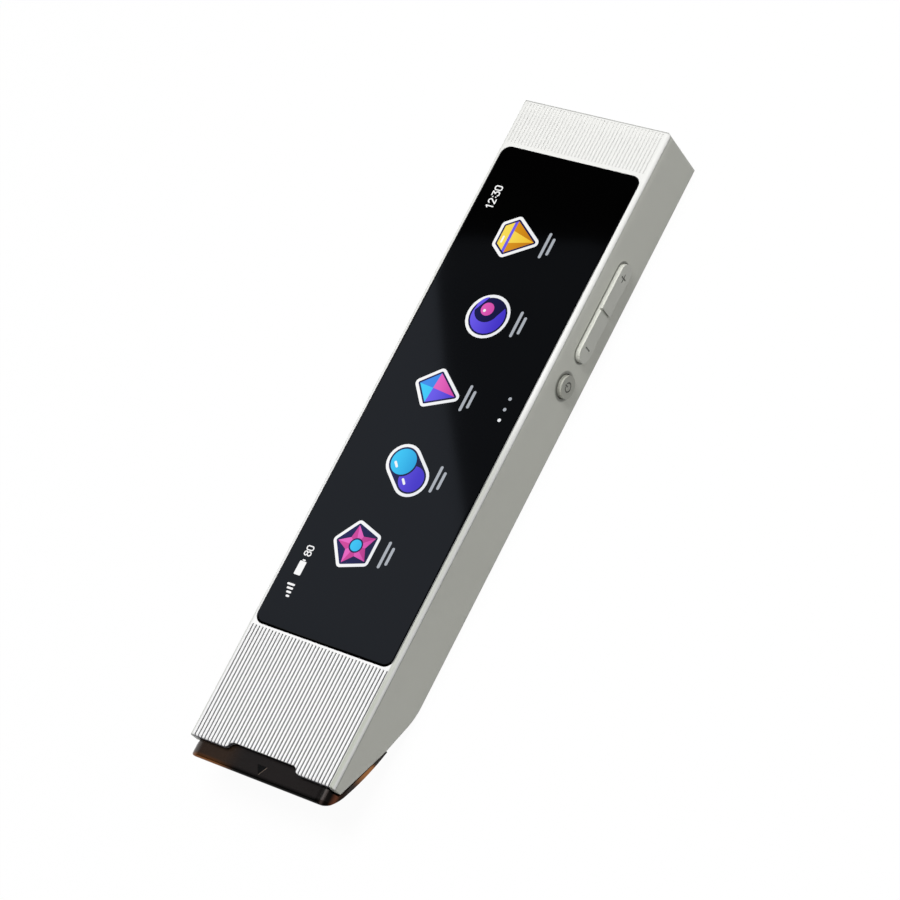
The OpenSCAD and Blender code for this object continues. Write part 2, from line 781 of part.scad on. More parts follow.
module display_pads() {
    color("#3a3a3a") for (s = sides)
        translate([pad_x0, s * (display_w / 2 - pad_inset) - pad_w / 2, display_z - pad_t])
            cube([pad_x1 - pad_x0, pad_w, pad_t]);
}

module display_flex() {
    half = display_plug[3] / 2;
    x0 = plug_edge(display_plug, -1) - flex_loop;
    color("#b06a25") slab_y(-half, half) {
        translate([x0, connector_top]) square([flex_t, display_z - connector_top]);
        translate([x0, connector_top]) square([plug_edge(display_plug, 1) - x0, flex_t]);
        translate([x0, display_z - flex_t]) square([display_x0 + flex_bond - x0, flex_t]);
    }
}

module chassis() {
    w = inner_w - chassis_gap;
    color("#9a9fa5") difference() {
        span([display_x0 + chassis_shift, -w, chassis_z], [display_x1 + chassis_shift, w,
            chassis_z + chassis_t]);
        for (i = [0 : cutout_count - 1])
            translate([display_x0 + display_l * (i + 0.8) / (cutout_count + 0.6), 0, chassis_z - 1])
                linear_extrude(chassis_t + 2) rounded_rect(cutout_size, cutout_r);
    }
}

// ---- Boards ----

module main_board() {
    r = screw_r + hole_gap;
    color("#1f5a3c") difference() {
        span([board_x0, -board_w / 2, board_z], [board_x1, board_w / 2, board_top]);
        for (x = board_post_xs, s = sides)
            translate([x, s * board_post_y, board_z - 1]) cylinder(board_t + 2, r, r);
    }
}

module board_chips() {
    color("#26282b") for (chip = concat(can_chips, rear_chips)) board_box(chip, board_top, chip[4]);
}

module board_connectors() {
    color("#d8d2c0") {
        for (p = [display_plug, led_plug, camera_plug, usb_plug, battery_plug, key_plug])
            board_box(p, board_top, connector_h);
        board_box(usb_board_plug, usb_board_top, connector_h);
    }
}

module shield_can() {
    place = [can_x, 0, can_size[0], can_size[1]];
    inside = place - [0, 0, 2 * can_wall, 2 * can_wall];
    color("#c4c8cc") difference() {
        board_box(place, board_top, can_size[2]);
        board_box(inside, board_top - 1, can_size[2] - can_wall + 1);
    }
}

module battery() {
    size = [battery_x1 - battery_x0, battery_y1 - battery_y0];
    color("#d9dbe0") translate([(battery_x0 + battery_x1) / 2, (battery_y0 + battery_y1) / 2, battery_z])
        linear_extrude(battery_top - battery_z) rounded_rect(size, battery_round);
}

module battery_tape() {
    inset = battery_tape_inset;
    color("#e8e2c8") for (y = [battery_y0 + inset, battery_y1 - inset - battery_tape_w])
        span([battery_x0 + inset, y, floor_t], [battery_x1 - inset, y + battery_tape_w, battery_z]);
}

module battery_lead() {
    wire_r = 0.4;
    x0 = plug_edge(battery_plug, 1);
    color("#b02a24") for (s = sides)
        translate([x0, battery_plug[1] + s * 0.9, board_top + wire_r])
            rotate([0, 90, 0]) cylinder(battery_x0 - x0, wire_r, wire_r);
}

module usb_board() {
    r = screw_r + hole_gap;
    color("#1f5a3c") difference() {
        span([usb_board_x0, -usb_board_w / 2, usb_board_top - board_t],
            [usb_board_x1, usb_board_w / 2, usb_board_top]);
        for (s = sides)
            translate([usb_post_x, s * usb_post_y, 0]) cylinder(usb_board_top + 1, r, r);
    }
}

module usb_socket() {
    x1 = x_rear - usb_recess;
    inner = [usb_w, usb_h] - 2 * usb_shell_t * [1, 1];
    color("#b8bcc2") slab_x(x1 - usb_l, x1) translate([0, key_z]) difference() {
        rounded_rect([usb_w, usb_h], usb_h / 2 - 0.01);
        rounded_rect(inner, inner[1] / 2 - 0.01);
    }
}

module usb_tongue() {
    x1 = x_rear - usb_recess;
    inner = [usb_w, usb_h] - 2 * usb_shell_t * [1, 1];
    color("#2c2c2e") {
        slab_x(x1 - usb_l, x1 - usb_l + 1) translate([0, key_z])
            rounded_rect(inner, inner[1] / 2 - 0.01);
        span([x1 - usb_l + 0.5, -tongue_w / 2, key_z - tongue_t / 2],
            [x1 - tongue_recess, tongue_w / 2, key_z + tongue_t / 2]);
    }
}

// Flat strip that runs over the battery between the two boards
module usb_flex() {
    half = usb_plug[3] / 2;
    x0 = plug_edge(usb_plug, -1);
    x1 = plug_edge(usb_board_plug, 1);
    up_x = plug_edge(usb_plug, 1) + 0.6;
    down_x = plug_edge(usb_board_plug, -1) - 0.6;
    low_z = usb_board_top + connector_h;
    color("#b06a25") slab_y(-half, half) {
        translate([x0, connector_top]) square([up_x - x0, flex_t]);
        translate([up_x - flex_t, connector_top]) square([flex_t, battery_top + flex_t - connector_top]);
        translate([up_x - flex_t, battery_top]) square([down_x - up_x + 2 * flex_t, flex_t]);
        translate([down_x, low_z]) square([flex_t, battery_top + flex_t - low_z]);
        translate([down_x, low_z]) square([x1 - down_x, flex_t]);
    }
}

module microphones() {
    color("#c9b27a") for (s = sides)
        board_box([usb_board_x1 - mic_size[0] / 2 - 0.2, s * mic_y, mic_size[0], mic_size[1]],
            usb_board_top, mic_size[2]);
}

module speaker() {
    color("#2b2b2b") translate([speaker_x, 0, battery_z]) linear_extrude(speaker_top - battery_z)
        rounded_rect(speaker_size, 2);
}

module speaker_gasket() {
    color("#4a4a4a") translate([speaker_x, 0, floor_t]) linear_extrude(bed_t) difference() {
        rounded_rect(speaker_size, 2);
        rounded_rect(speaker_size - 2 * gasket_rim * [1, 1], 1);
    }
}

module speaker_mesh() {
    color("#606468") translate([speaker_x, 0, floor_t]) linear_extrude(mesh_t)
        rounded_rect(speaker_size - 2 * gasket_rim * [1, 1], 1);
}

module antenna_flex() {
    color("#b06a25") span([battery_x0 + antenna_inset, inner_w - flex_t, battery_z + antenna_inset / 2],
        [battery_x1 - antenna_inset, inner_w, chassis_z - chassis_gap]);
}

// ---- Keys ----

module key_bracket() {
    r = screw_r + hole_gap;
    x0 = lug_xs[0] - lug_half_l;
    x1 = lug_xs[1] + lug_half_l;
    ear_y = pin_y - pin_r - ear_rim;
    color("#9a9fa5") difference() {
        union() {
            span([x0, bracket_y, bracket_bottom], [x1, bracket_y + bracket_t, bracket_top]);
            for (z = [[bracket_bottom, bracket_bottom + bracket_ear[1]],
                [key_z + flange_half_h + ear_gap, bracket_top]])
                span([rocker_x - bracket_ear[0] / 2, ear_y, z[0]],
                    [rocker_x + bracket_ear[0] / 2, bracket_y + 0.1, z[1]]);
            for (x = lug_xs)
                span([x - lug_half_l, lug_y - lug_half_l, board_z],
                    [x + lug_half_l, bracket_y + 0.1, board_top]);
        }
        for (x = lug_xs) translate([x, lug_y, board_z - 1]) cylinder(board_t + 2, r, r);
        translate([rocker_x, pin_y, 0]) cylinder(reach, pin_r, pin_r);
    }
}

module key_board() {
    x_tail = plug_edge(key_plug, -1);
    z0 = bracket_bottom + bracket_ear[1] + 0.1;
    z1 = key_z + flange_half_h;
    color("#1f5a3c") {
        span([power_x - 3, key_board_y, z0], [lug_xs[1] - lug_half_l - 0.3, bracket_y, z1]);
        span([x_tail, key_board_y, connector_top], [power_x, key_board_y + 2 * flex_t, z1]);
    }
}

module key_switches() {
    r = plunger_r + plunger_gap;
    color("#d0d4d8") difference() {
        for (x = switch_xs)
            translate([x - switch_size[0] / 2, switch_y, key_z - switch_size[2] / 2]) cube(switch_size);
        for (x = switch_xs)
            translate([x, switch_y + switch_bore, key_z]) rotate([90, 0, 0]) cylinder(switch_bore + 1, r, r);
    }
}

module rocker_pin() {
    color("#b8bcc2") translate([rocker_x, pin_y, bracket_bottom])
        cylinder(bracket_top - bracket_bottom, pin_r, pin_r);
}

module rocker_key() {
    r = pin_r + pin_gap;
    bottom_y = key_face_y + mark_depth;
    color("#9c9c94") difference() {
        union() {
            slab_y(key_face_y, rocker_flange_y + 0.1) translate([rocker_x, key_z])
                rounded_rect([rocker_l, rocker_h], rocker_h / 2 - 0.01);
            slab_y(rocker_flange_y, rocker_flange_y + flange_t) translate([rocker_x, key_z])
                square([2 * flange_half_l, 2 * flange_half_h], center = true);
            translate([rocker_x, pin_y, key_z]) cylinder(2 * flange_half_h, boss_r, boss_r, center = true);
        }
        translate([rocker_x, pin_y, 0]) cylinder(reach, r, r);
        // Notch across the middle
        translate([rocker_x, 0, 0]) linear_extrude(reach)
            polygon([[-vee_w / 2, key_face_y - 0.01], [vee_w / 2, key_face_y - 0.01],
                [0, key_face_y + vee_w]]);
        // Plus and minus
        slab_y(key_face_y - 1, bottom_y) {
            for (s = sides) translate([rocker_x + s * rocker_switch_span / 2, key_z])
                square([mark_line, plus_size], center = true);
            translate([rocker_x + rocker_switch_span / 2, key_z])
                square([plus_size, mark_line], center = true);
        }
    }
}

// Round stem behind a key
module stem(x, y0) {
    translate([x, plunger_tip_y, key_z]) rotate([90, 0, 0])
        cylinder(plunger_tip_y - y0, plunger_r, plunger_r);
}

module rocker_plungers() {
    color("#2c2c2e") for (i = [0, 1]) stem(switch_xs[i], rocker_flange_y + flange_t);
}

module power_key() {
    color("#9c9c94") difference() {
        union() {
            slab_y(key_face_y, power_flange_y + 0.1) translate([power_x, key_z]) circle(power_d / 2);
            slab_y(power_flange_y, power_flange_y + flange_t) translate([power_x, key_z])
                circle(power_flange_r);
        }
        // Power symbol: an open ring and a bar
        slab_y(key_face_y - 1, key_face_y + mark_depth) translate([power_x, key_z]) {
            difference() {
                circle(power_mark_r + mark_line / 2);
                circle(power_mark_r - mark_line / 2);
                translate([-mark_line, 0]) square([2 * mark_line, 2 * power_mark_r]);
            }
            translate([-mark_line / 2, 0.1]) square([mark_line, power_mark_r + 0.2]);
        }
    }
}

module power_plunger() {
    color("#2c2c2e") stem(power_x, power_flange_y + flange_t);
}

// ---- Camera and scan lamp ----

// Moves a child from the camera's own axes to its place: -x looks out through the hood
module at_camera() {
    translate([cam_x, 0, cam_z]) rotate([0, -cam_tilt, 0]) children();
}

module camera_holder() {
    r = screw_r + hole_gap;
    bore = barrel_r + barrel_gap;
    color("#2e2e30") difference() {
        union() {
            span([holder_x0, -holder_half_w, holder_z], [holder_x1, holder_half_w, holder_z + holder_t]);
            at_camera() span([-holder_wall, -cam_size[1] / 2 - 1, holder_z + holder_t / 2 - cam_z],
                [0, cam_size[1] / 2 + 1, cam_size[2] / 2]);
        }
        at_camera() translate([-holder_wall - 1, 0, 0]) rotate([0, 90, 0])
            cylinder(holder_wall + 2, bore, bore);
        for (s = sides)
            translate([cam_post_x, s * cam_post_y, 0]) cylinder(reach, r, r);
    }
}

module camera_module() {
    color("#1a1a1c") at_camera() difference() {
        union() {
            span([0, -cam_size[1] / 2, -cam_size[2] / 2], [cam_size[0], cam_size[1] / 2, cam_size[2] / 2]);
            translate([-barrel_l, 0, 0]) rotate([0, 90, 0]) cylinder(barrel_l + 0.5, barrel_r, barrel_r);
        }
        translate([-barrel_l - 1, 0, 0]) rotate([0, 90, 0])
            cylinder(lens_recess + lens_t + 1, lens_r, lens_r);
    }
}

module camera_lens() {
    color("#4a5560") at_camera() translate([-barrel_l + lens_recess, 0, 0]) rotate([0, 90, 0])
        cylinder(lens_t, lens_r, lens_r);
}

module camera_board() {
    color("#1f5a3c") at_camera() span([cam_size[0], -cam_size[1] / 2, -cam_size[2] / 2],
        [cam_size[0] + cam_board_t, cam_size[1] / 2, cam_size[2] / 2]);
}

module led_board() {
    color("#e6e6e2") span([led_board_x0, -led_board_half_w, led_board_z],
        [led_board_x1, led_board_half_w, led_board_z + board_t]);
}

module led_chips() {
    color("#f2e9b8") for (s = sides, y = led_ys)
        board_box([led_x, s * y, led_size[0], led_size[1]], led_board_z - led_size[2], led_size[2]);
}

module light_guides() {
    z0 = led_board_z - led_size[2];
    color("#e8f0f4") for (s = sides) {
        board_box([led_x, s * guide_y, guide_size[0], guide_size[1]], z0 - guide_size[2], guide_size[2]);
        for (e = sides)
            board_box([led_x, s * guide_y + e * (guide_size[1] - guide_leg) / 2, guide_size[0], guide_leg],
                z0 - 0.1, led_size[2] + 0.1);
    }
}

module led_flex() {
    half = led_plug[3] / 2;
    x1 = plug_edge(led_plug, 1);
    down_x = plug_edge(led_plug, -1) - 0.3;
    color("#b06a25") slab_y(led_plug[1] - half, led_plug[1] + half) {
        translate([led_board_x1 - flex_lap, led_board_z - flex_t])
            square([down_x + flex_t - led_board_x1 + flex_lap, flex_t]);
        translate([down_x, connector_top]) square([flex_t, led_board_z - connector_top]);
        translate([down_x, connector_top]) square([x1 - down_x, flex_t]);
    }
}

module hood_switch() {
    r = plunger_r + hood_plunger_gap;
    place = [shelf_x, hood_switch_y, hood_switch_size[0], hood_switch_size[1]];
    color("#d0d4d8") difference() {
        board_box(place, hood_switch_z, hood_switch_size[2]);
        translate([shelf_x, hood_switch_y, hood_switch_z - 1]) cylinder(1 + switch_bore, r, r);
    }
}

// ---- Hood ----

// Side view of the hood's outside
module hood_side() {
    intersection() {
        translate(curve_c) circle(hood_curve, $fn = 720);
        polygon([nose, nose + 4 * nose_dir, [hood_x1, -4], [hood_x1, nose_z]]);
    }
    translate(nose) circle(nose_round);
    translate(nose) square([hood_x1 - nose[0], nose_round]);
}

// Side view of all that lies below the mouth line raised by h, with the hood at rest
module below_mouth(h) {
    x0 = x_nose - 5;
    x1 = x_floor + 5;
    translate([hinge_x, hinge_z]) rotate(hood_press) translate([-hinge_x, -hinge_z])
        polygon([[x0, -5], [x1, -5], [x1, mouth_at(x1) + h], [x0, mouth_at(x0) + h]]);
}

// Top view of the hood with its rounded front corners
module hood_plan() {
    translate([x_nose + hood_corner, -hood_half_w])
        square([hood_x1 - x_nose - hood_corner, 2 * hood_half_w]);
    translate([x_nose, -hood_half_w + hood_corner])
        square([hood_x1 - x_nose, 2 * (hood_half_w - hood_corner)]);
    for (s = sides)
        translate([x_nose + hood_corner, s * (hood_half_w - hood_corner)]) circle(hood_corner);
}

// Cross-section of the hood with its rounded upper edges
module hood_section() {
    translate([-hood_half_w, -5]) square([2 * hood_half_w, 5 + hood_top - hood_edge]);
    translate([-hood_half_w + hood_edge, -5]) square([2 * (hood_half_w - hood_edge), 5 + hood_top]);
    for (s = sides) translate([s * (hood_half_w - hood_edge), hood_top - hood_edge]) circle(hood_edge);
}

// Solid hood: a full-width strip and front, and a narrower plug between the casing's walls
module hood_solid() {
    intersection() {
        across(hood_half_w) hood_side();
        linear_extrude(casing_h) hood_plan();
        slab_x(x_nose - 1, hood_x1 + 1) hood_section();
        union() {
            across(hood_half_w + 1) {
                below_mouth(-hood_gap / cos(mouth_angle));
                translate([x_nose - 1, -5]) square([x_front - hood_front_gap - x_nose + 1, reach]);
            }
            across(plug_half_w) {
                below_mouth(skirt_h);
                translate([x_nose, -5]) square([lip_x - x_nose, reach]);
            }
        }
    }
}

// Hollow of the hood, open at the rear and behind the lip
module hood_hollow() {
    across(hollow_half_w) intersection() {
        translate(curve_c) circle(hood_curve - hood_skin, $fn = 720);
        union() {
            translate([x_nose + hood_front_wall, -5])
                square([hood_x1 + 1 - x_nose - hood_front_wall, 5 + hood_top - lip_t]);
            translate([lip_x, -5]) square([hood_x1 + 1 - lip_x, 5 + casing_h]);
        }
    }
}

// Side view of the window, with margin g round it and height t
module window_side(g, z0, t) {
    translate(curve_c) rotate(window_angle) translate([-window_l / 2 - g, z0 - hood_curve])
        square([window_l + 2 * g, t]);
}

module scan_hood() {
    color("#3a2a1e") difference() {
        union() {
            difference() {
                hood_solid();
                difference() {
                    hood_hollow();
                    for (s = sides)
                        translate([spring_x, s * spring_y, 0]) cylinder(seat_z, seat_r, seat_r);
                }
            }
            for (s = sides)
                slab_y(s * (plug_half_w - ear_t / 2) - ear_t / 2, s * (plug_half_w - ear_t / 2) + ear_t / 2) {
                    translate([hinge_x, hinge_z]) circle(ear_r);
                    translate([hood_x1 - 2.5, hinge_z - arm_drop])
                        square([hinge_x - hood_x1 + 2.5, ear_r + arm_drop]);
                }
            span([shelf_x - shelf_size[0] / 2, hood_switch_y - shelf_size[1] / 2, shelf_z - shelf_size[2]],
                [shelf_x + shelf_size[0] / 2, hollow_half_w + 0.3, shelf_z]);
        }
        both_sides_y(hinge_x, hinge_z, hood_pin_r + hood_pin_gap, pin_post_y1, inner_w);
        across(window_w / 2 + window_gap) window_side(window_gap, -1, hood_skin + 3);
        translate([arrow_x, 0, hood_top - arrow_depth]) linear_extrude(1)
            polygon([[0, 0], [arrow_l, -arrow_w / 2], [arrow_l, arrow_w / 2]]);
    }
}

module scan_window() {
    color("#8a6a4a") across(window_w / 2) window_side(0, window_recess, window_t);
}

module hood_plunger() {
    color("#2c2c2e") translate([shelf_x, hood_switch_y, shelf_z])
        cylinder(hood_switch_z + 0.2 - shelf_z, plunger_r, plunger_r);
}

module hood_pins() {
    color("#b8bcc2") both_sides_y(hinge_x, hinge_z, hood_pin_r, pin_post_y0, inner_w + pin_in_wall);
}

// Round-wire coil spring of height h, standing on the plane z = 0
module coil(h) {
    coil_steps = turn_steps * spring_turns;
    last = wire_sides - 1;
    points = [for (i = [0 : coil_steps], j = [0 : last])
        let (a = 360 * i / turn_steps, b = 360 * j / wire_sides, d = spring_r + spring_wire_r * cos(b))
            [d * cos(a), d * sin(a),
                spring_wire_r * (1 + sin(b)) + (h - 2 * spring_wire_r) * i / coil_steps]];
    function at(i, j) = i * wire_sides + j % wire_sides;
    skin = [for (i = [0 : coil_steps - 1], j = [0 : last])
        [at(i, j), at(i + 1, j), at(i + 1, j + 1), at(i, j + 1)]];
    ends = [[for (j = [0 : last]) j], [for (j = [last : -1 : 0]) at(coil_steps, j)]];
    polyhedron(points, concat(skin, ends));
}

module hood_springs() {
    color("#b8bcc2") for (s = sides)
        translate([spring_x, s * spring_y, seat_z]) coil(spring_h);
}

// ---- Screws ----

module board_screws() {
    color("#8c9096") for (x = board_post_xs, s = sides) screw(x, s * board_post_y, board_top);
}

module usb_screws() {
    color("#8c9096") for (s = sides) screw(usb_post_x, s * usb_post_y, usb_board_top);
}

module camera_screws() {
    color("#8c9096") for (s = sides) screw(cam_post_x, s * cam_post_y, holder_z + holder_t);
}

module bracket_screws() {
    color("#8c9096") for (x = lug_xs) screw(x, lug_y, board_top);
}

case_shell();
top_cover();
cover_glass();
glass_tape();
display_panel();
display_pads();
display_flex();
chassis();
main_board();
board_chips();
board_connectors();
shield_can();
battery();
battery_tape();
battery_lead();
usb_board();
usb_socket();
usb_tongue();
usb_flex();
microphones();
speaker();
speaker_gasket();
speaker_mesh();
key_bracket();
key_board();
key_switches();
rocker_pin();
rocker_key();
rocker_plungers();
power_key();
power_plunger();
camera_holder();
camera_module();
camera_lens();
camera_board();
led_board();
led_chips();
light_guides();
led_flex();
hood_switch();
hood_plunger();
scan_hood();
scan_window();
hood_pins();
hood_springs();
antenna_flex();
board_screws();
usb_screws();
camera_screws();
bracket_screws();
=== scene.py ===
"""Looks of a handheld scan translator: its finishes, keys, glass and screen, with light and camera.

Places and sizes are in millimetres of the part's own frame, unless a name or comment says metres.
"""
import math

import bmesh
import bpy
from mathutils import Matrix, Vector


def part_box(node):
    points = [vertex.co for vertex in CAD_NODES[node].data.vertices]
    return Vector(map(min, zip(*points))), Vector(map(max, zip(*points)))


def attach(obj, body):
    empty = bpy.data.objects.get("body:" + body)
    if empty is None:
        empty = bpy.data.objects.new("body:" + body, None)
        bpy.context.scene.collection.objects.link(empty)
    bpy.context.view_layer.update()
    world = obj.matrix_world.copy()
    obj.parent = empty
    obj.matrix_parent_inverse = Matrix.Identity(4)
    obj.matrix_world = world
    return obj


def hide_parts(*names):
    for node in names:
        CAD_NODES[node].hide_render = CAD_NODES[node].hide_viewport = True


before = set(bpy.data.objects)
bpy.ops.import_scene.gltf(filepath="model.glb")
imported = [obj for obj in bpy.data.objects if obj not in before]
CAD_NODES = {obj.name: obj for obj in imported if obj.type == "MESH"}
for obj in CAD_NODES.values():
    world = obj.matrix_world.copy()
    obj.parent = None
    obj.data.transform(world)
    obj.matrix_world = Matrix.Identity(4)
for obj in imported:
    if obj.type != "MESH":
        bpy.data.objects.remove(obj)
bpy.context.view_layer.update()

MM = 0.001

# Height of the seam between case and cover
SEAM_Z = 12.5
# Half length and half height of each key's face
KEY_HALVES = {"rocker_key": (10.25, 1.8), "power_key": (2.2, 2.2)}


def box_of(node):
    """Lowest and highest corner of a CAD node."""
    return [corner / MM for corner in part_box(node)]


def shade(code, level=1.0):
    """Linear colour from a hex code, times level."""
    parts = [int(code[i:i + 2], 16) / 255 for i in (1, 3, 5)]
    linear = [c / 12.92 if c <= 0.04045 else ((c + 0.055) / 1.055) ** 2.4 for c in parts]
    return tuple(level * c for c in linear) + (1.0,)


# ---- Material nodes ----

class Value:
    """A number or colour that varies over a surface. Arithmetic on numbers adds Math nodes."""

    def __init__(self, finish, node, out):
        self.finish, self.node, self.socket = finish, node, node.outputs[out]

    def out(self, name):
        """Another output of the same node."""
        return Value(self.finish, self.node, name)

    def calc(self, operation, *inputs):
        """A Math node."""
        return self.finish.node("ShaderNodeMath", {"operation": operation}, dict(enumerate(inputs)))

    def __add__(self, other):
        return self.calc("ADD", self, other)

    def __sub__(self, other):
        return self.calc("SUBTRACT", self, other)

    def __rsub__(self, other):
        return self.calc("SUBTRACT", other, self)

    def __mul__(self, other):
        return self.calc("MULTIPLY", self, other)

    def __truediv__(self, other):
        return self.calc("DIVIDE", self, other)

    __radd__, __rmul__ = __add__, __mul__

    def away(self, middle):
        """Distance from a middle value."""
        return self.calc("ABSOLUTE", self - middle)

    def rising(self, low, high):
        """0 below low, 1 above high, smooth between."""
        return self.finish.node("ShaderNodeMapRange", {"interpolation_type": "SMOOTHSTEP"},
                                {"Value": self, "From Min": low, "From Max": high})


class Paintwork:
    """Nodes of one material or world."""

    def __init__(self, owner):
        self.owner = owner
        owner.use_nodes = True
        self.tree = owner.node_tree

    def node(self, kind, settings=None, inputs=None, out=0):
        """Adds a node, sets its settings, then the values or links of its sockets."""
        made = self.tree.nodes.new(kind)
        for key, value in (settings or {}).items():
            setattr(made, key, value)
        for key, value in (inputs or {}).items():
            if isinstance(value, Value):
                self.tree.links.new(value.socket, made.inputs[key])
            else:
                made.inputs[key].default_value = value
        return Value(self, made, out)

    def seen_directly(self):
        """1 for the camera and for what mirrors or clear plastic show, 0 for light on the part."""
        path = self.node("ShaderNodeLightPath", out="Is Camera Ray")
        mirrored = path.calc("MAXIMUM", path, path.out("Is Glossy Ray"))
        return path.calc("MAXIMUM", mirrored, path.out("Is Transmission Ray"))

    def show(self, shader):
        """Makes a shader the surface, in place of the standard one."""
        self.tree.nodes.remove(self.tree.nodes["Principled BSDF"])
        self.tree.links.new(shader.socket, self.tree.nodes["Material Output"].inputs["Surface"])


class Finish(Paintwork):
    """One procedural material."""

    def __init__(self, name, **constants):
        super().__init__(bpy.data.materials.new(name))
        self.shader = self.tree.nodes["Principled BSDF"]
        coords = self.node("ShaderNodeTexCoord", out="Object")
        self.place = self.node("ShaderNodeVectorMath", {"operation": "SCALE"},
                               {0: coords, "Scale": 1 / MM})
        parts = self.node("ShaderNodeSeparateXYZ", {}, {0: self.place})
        self.x, self.y, self.z = parts, parts.out("Y"), parts.out("Z")
        for key, value in constants.items():
            self.shader.inputs[key.replace("_", " ")].default_value = value

    def feed(self, socket, value):
        """Links a value to one of the shader's own sockets."""
        self.tree.links.new(value.socket, self.shader.inputs[socket])

    def noise(self, scale, detail=3, stretch=(1, 1, 1)):
        """Noise with scale cells a millimetre, drawn out along an axis by a stretch above 1."""
        size = [scale / s for s in stretch]
        place = self.node("ShaderNodeVectorMath", {"operation": "MULTIPLY"},
                          {0: self.place, 1: size})
        inputs = {"Vector": place, "Scale": 1.0, "Detail": detail}
        return self.node("ShaderNodeTexNoise", {}, inputs, "Fac")

    def cells(self, scale, feature="F1", out="Distance"):
        """Uneven cells, scale of them a millimetre."""
        inputs = {"Vector": self.place, "Scale": scale}
        return self.node("ShaderNodeTexVoronoi", {"feature": feature}, inputs, out)

    def stripes(self, pitch, axis="X"):
        """Smooth stripes across an axis, pitch millimetres apart, from 0 to 1."""
        wave = {"wave_type": "BANDS", "bands_direction": axis, "wave_profile": "SIN"}
        turns = 2 * math.pi / 20
        inputs = {"Vector": self.place, "Scale": turns / pitch}
        return self.node("ShaderNodeTexWave", wave, inputs, "Fac")

    def mix(self, share, a, b):
        """Colour a, with a share of colour b."""
        return self.node("ShaderNodeMix", {"data_type": "RGBA"}, {0: share, 6: a, 7: b}, 2)

    def relief(self, height, strength, depth, normal=None):
        """A normal from a height, depth millimetres deep, on top of another normal."""
        inputs = {"Height": height, "Strength": strength, "Distance": depth * MM}
        if normal:
            inputs["Normal"] = normal
        return self.node("ShaderNodeBump", {}, inputs)

    def bump(self, height, strength, depth, normal=None):
        """Gives the surface the relief of a height."""
        self.feed("Normal", self.relief(height, strength, depth, normal))

    def soft_edges(self, radius):
        """A normal that rounds sharp edges, and a mask that is 1 on them."""
        soft = self.node("ShaderNodeBevel", {"samples": 4}, {"Radius": radius * MM})
        true = self.node("ShaderNodeNewGeometry", out="True Normal")
        flat = self.node("ShaderNodeVectorMath", {"operation": "DOT_PRODUCT"}, {0: soft, 1: true},
                         "Value")
        return soft, 1 - flat.rising(0.75, 0.995)


# ---- Finishes ----

def moulded(name, code, roughness=0.5, edge=0.12, grain=0.12, darken=(), curve=None):
    """Moulded plastic with a fine spark-eroded grain, faint mottling and polished edges.

    Each of darken gives a mask of painted shade and the colour painted there. Curve gives a height
    that bends the light on walls whose solid is flat.
    """
    f = Finish(name, IOR=1.46)
    cloud = f.noise(0.12, 2)
    tone = f.mix(cloud, shade(code, 0.97), shade(code))
    soft, edges = f.soft_edges(edge)
    if curve:
        soft = f.relief(curve(f), 1.0, 1.0, soft)
    for shaded in darken:
        mask, colour = shaded(f)
        tone = f.mix(mask, tone, colour)
    f.feed("Base Color", tone)
    f.feed("Roughness", roughness - 0.1 * edges + 0.08 * (cloud - 0.5))
    f.bump(f.noise(7, 2) + 0.6 * f.noise(2.5, 2), grain, 0.012, soft)
    return f.owner


def seam_shadow(f):
    """The hairline between case and cover, plainest at the front."""
    line = (1 - f.z.away(SEAM_Z).rising(0.03, 0.1)) * f.y.away(0).rising(16.0, 16.3)
    return line * (0.75 - 0.45 * f.x.rising(-60, 10)), shade("#5c5f58")


def off_key(f, key):
    """Distance from a key's outline, seen from the key side."""
    half_l, half_h = KEY_HALVES[key]
    low, high = box_of(key)
    middle = (low + high) / 2
    beyond = f.x.away(middle.x) - (half_l - half_h)
    along, up = beyond.calc("MAXIMUM", beyond, 0), f.z - middle.z
    square = along * along + up * up
    return square.calc("SQRT", square) - half_h


def key_gap_shadow(f):
    """Shade round the keys, in the gap and beside it."""
    rocker = off_key(f, "rocker_key").rising(0.3, 0.6)
    power = off_key(f, "power_key").rising(0.35, 0.9)
    key_side = 1 - f.y.rising(-16.35, -16.2)
    return (1 - rocker * power) * key_side * 0.75, shade("#4c4d47")


def foot_shadow(f):
    """The casing's lower edges, turned from the light."""
    return (1 - f.z.rising(0.1, 0.7)) * f.y.away(0).rising(15.4, 15.9) * 0.3, shade("#5c5f58")


def rounded_walls(f):
    """The side walls lean in a little below the seam, plainest toward the rear."""
    start, bend = 11.0, 0.09
    rise = f.z - start
    above = rise.calc("MAXIMUM", rise, 0)
    return above * above * f.x.rising(-10, 30) * -bend


def groove_shadow(f):
    """Shade in the fine grooves, deeper in front of the glass than behind it."""
    within = (1 - f.y.away(0).rising(15.55, 15.7)) * f.z.rising(SEAM_Z, SEAM_Z + 0.1)
    front, rear = 1 - f.x.rising(-42.95, -42.85), f.x.rising(59.2, 59.4)
    deep, shallow = 1 - f.z.rising(13.03, 13.21), 1 - f.z.rising(13.12, 13.27)
    paler = 1 - f.x.rising(65, 68.5)
    return within * (front * deep * 0.97 + rear * shallow * paler * 0.16), shade("#2f2b36")


def rim_shadow(f):
    """The cover's rounded side edges, which turn from the light soonest at the front."""
    key_side = (1 - f.y.rising(-15.6, -15.2)) * (0.25 + 0.75 * f.y.rising(-16.38, -15.9))
    fade = 1 - 0.15 * f.x.rising(-50, -40) - 0.85 * f.x.rising(-8, 18)
    far_side = f.y.rising(15.5, 16.2) * (0.75 - 0.45 * f.x.rising(-52, -30))
    return key_side * fade + far_side, shade("#aeb1a6")


def rear_painted_shade(f):
    """Painted shade that makes the cover's rear half slightly greyer."""
    return f.x.rising(-20, 45), shade("#e7e7e4")


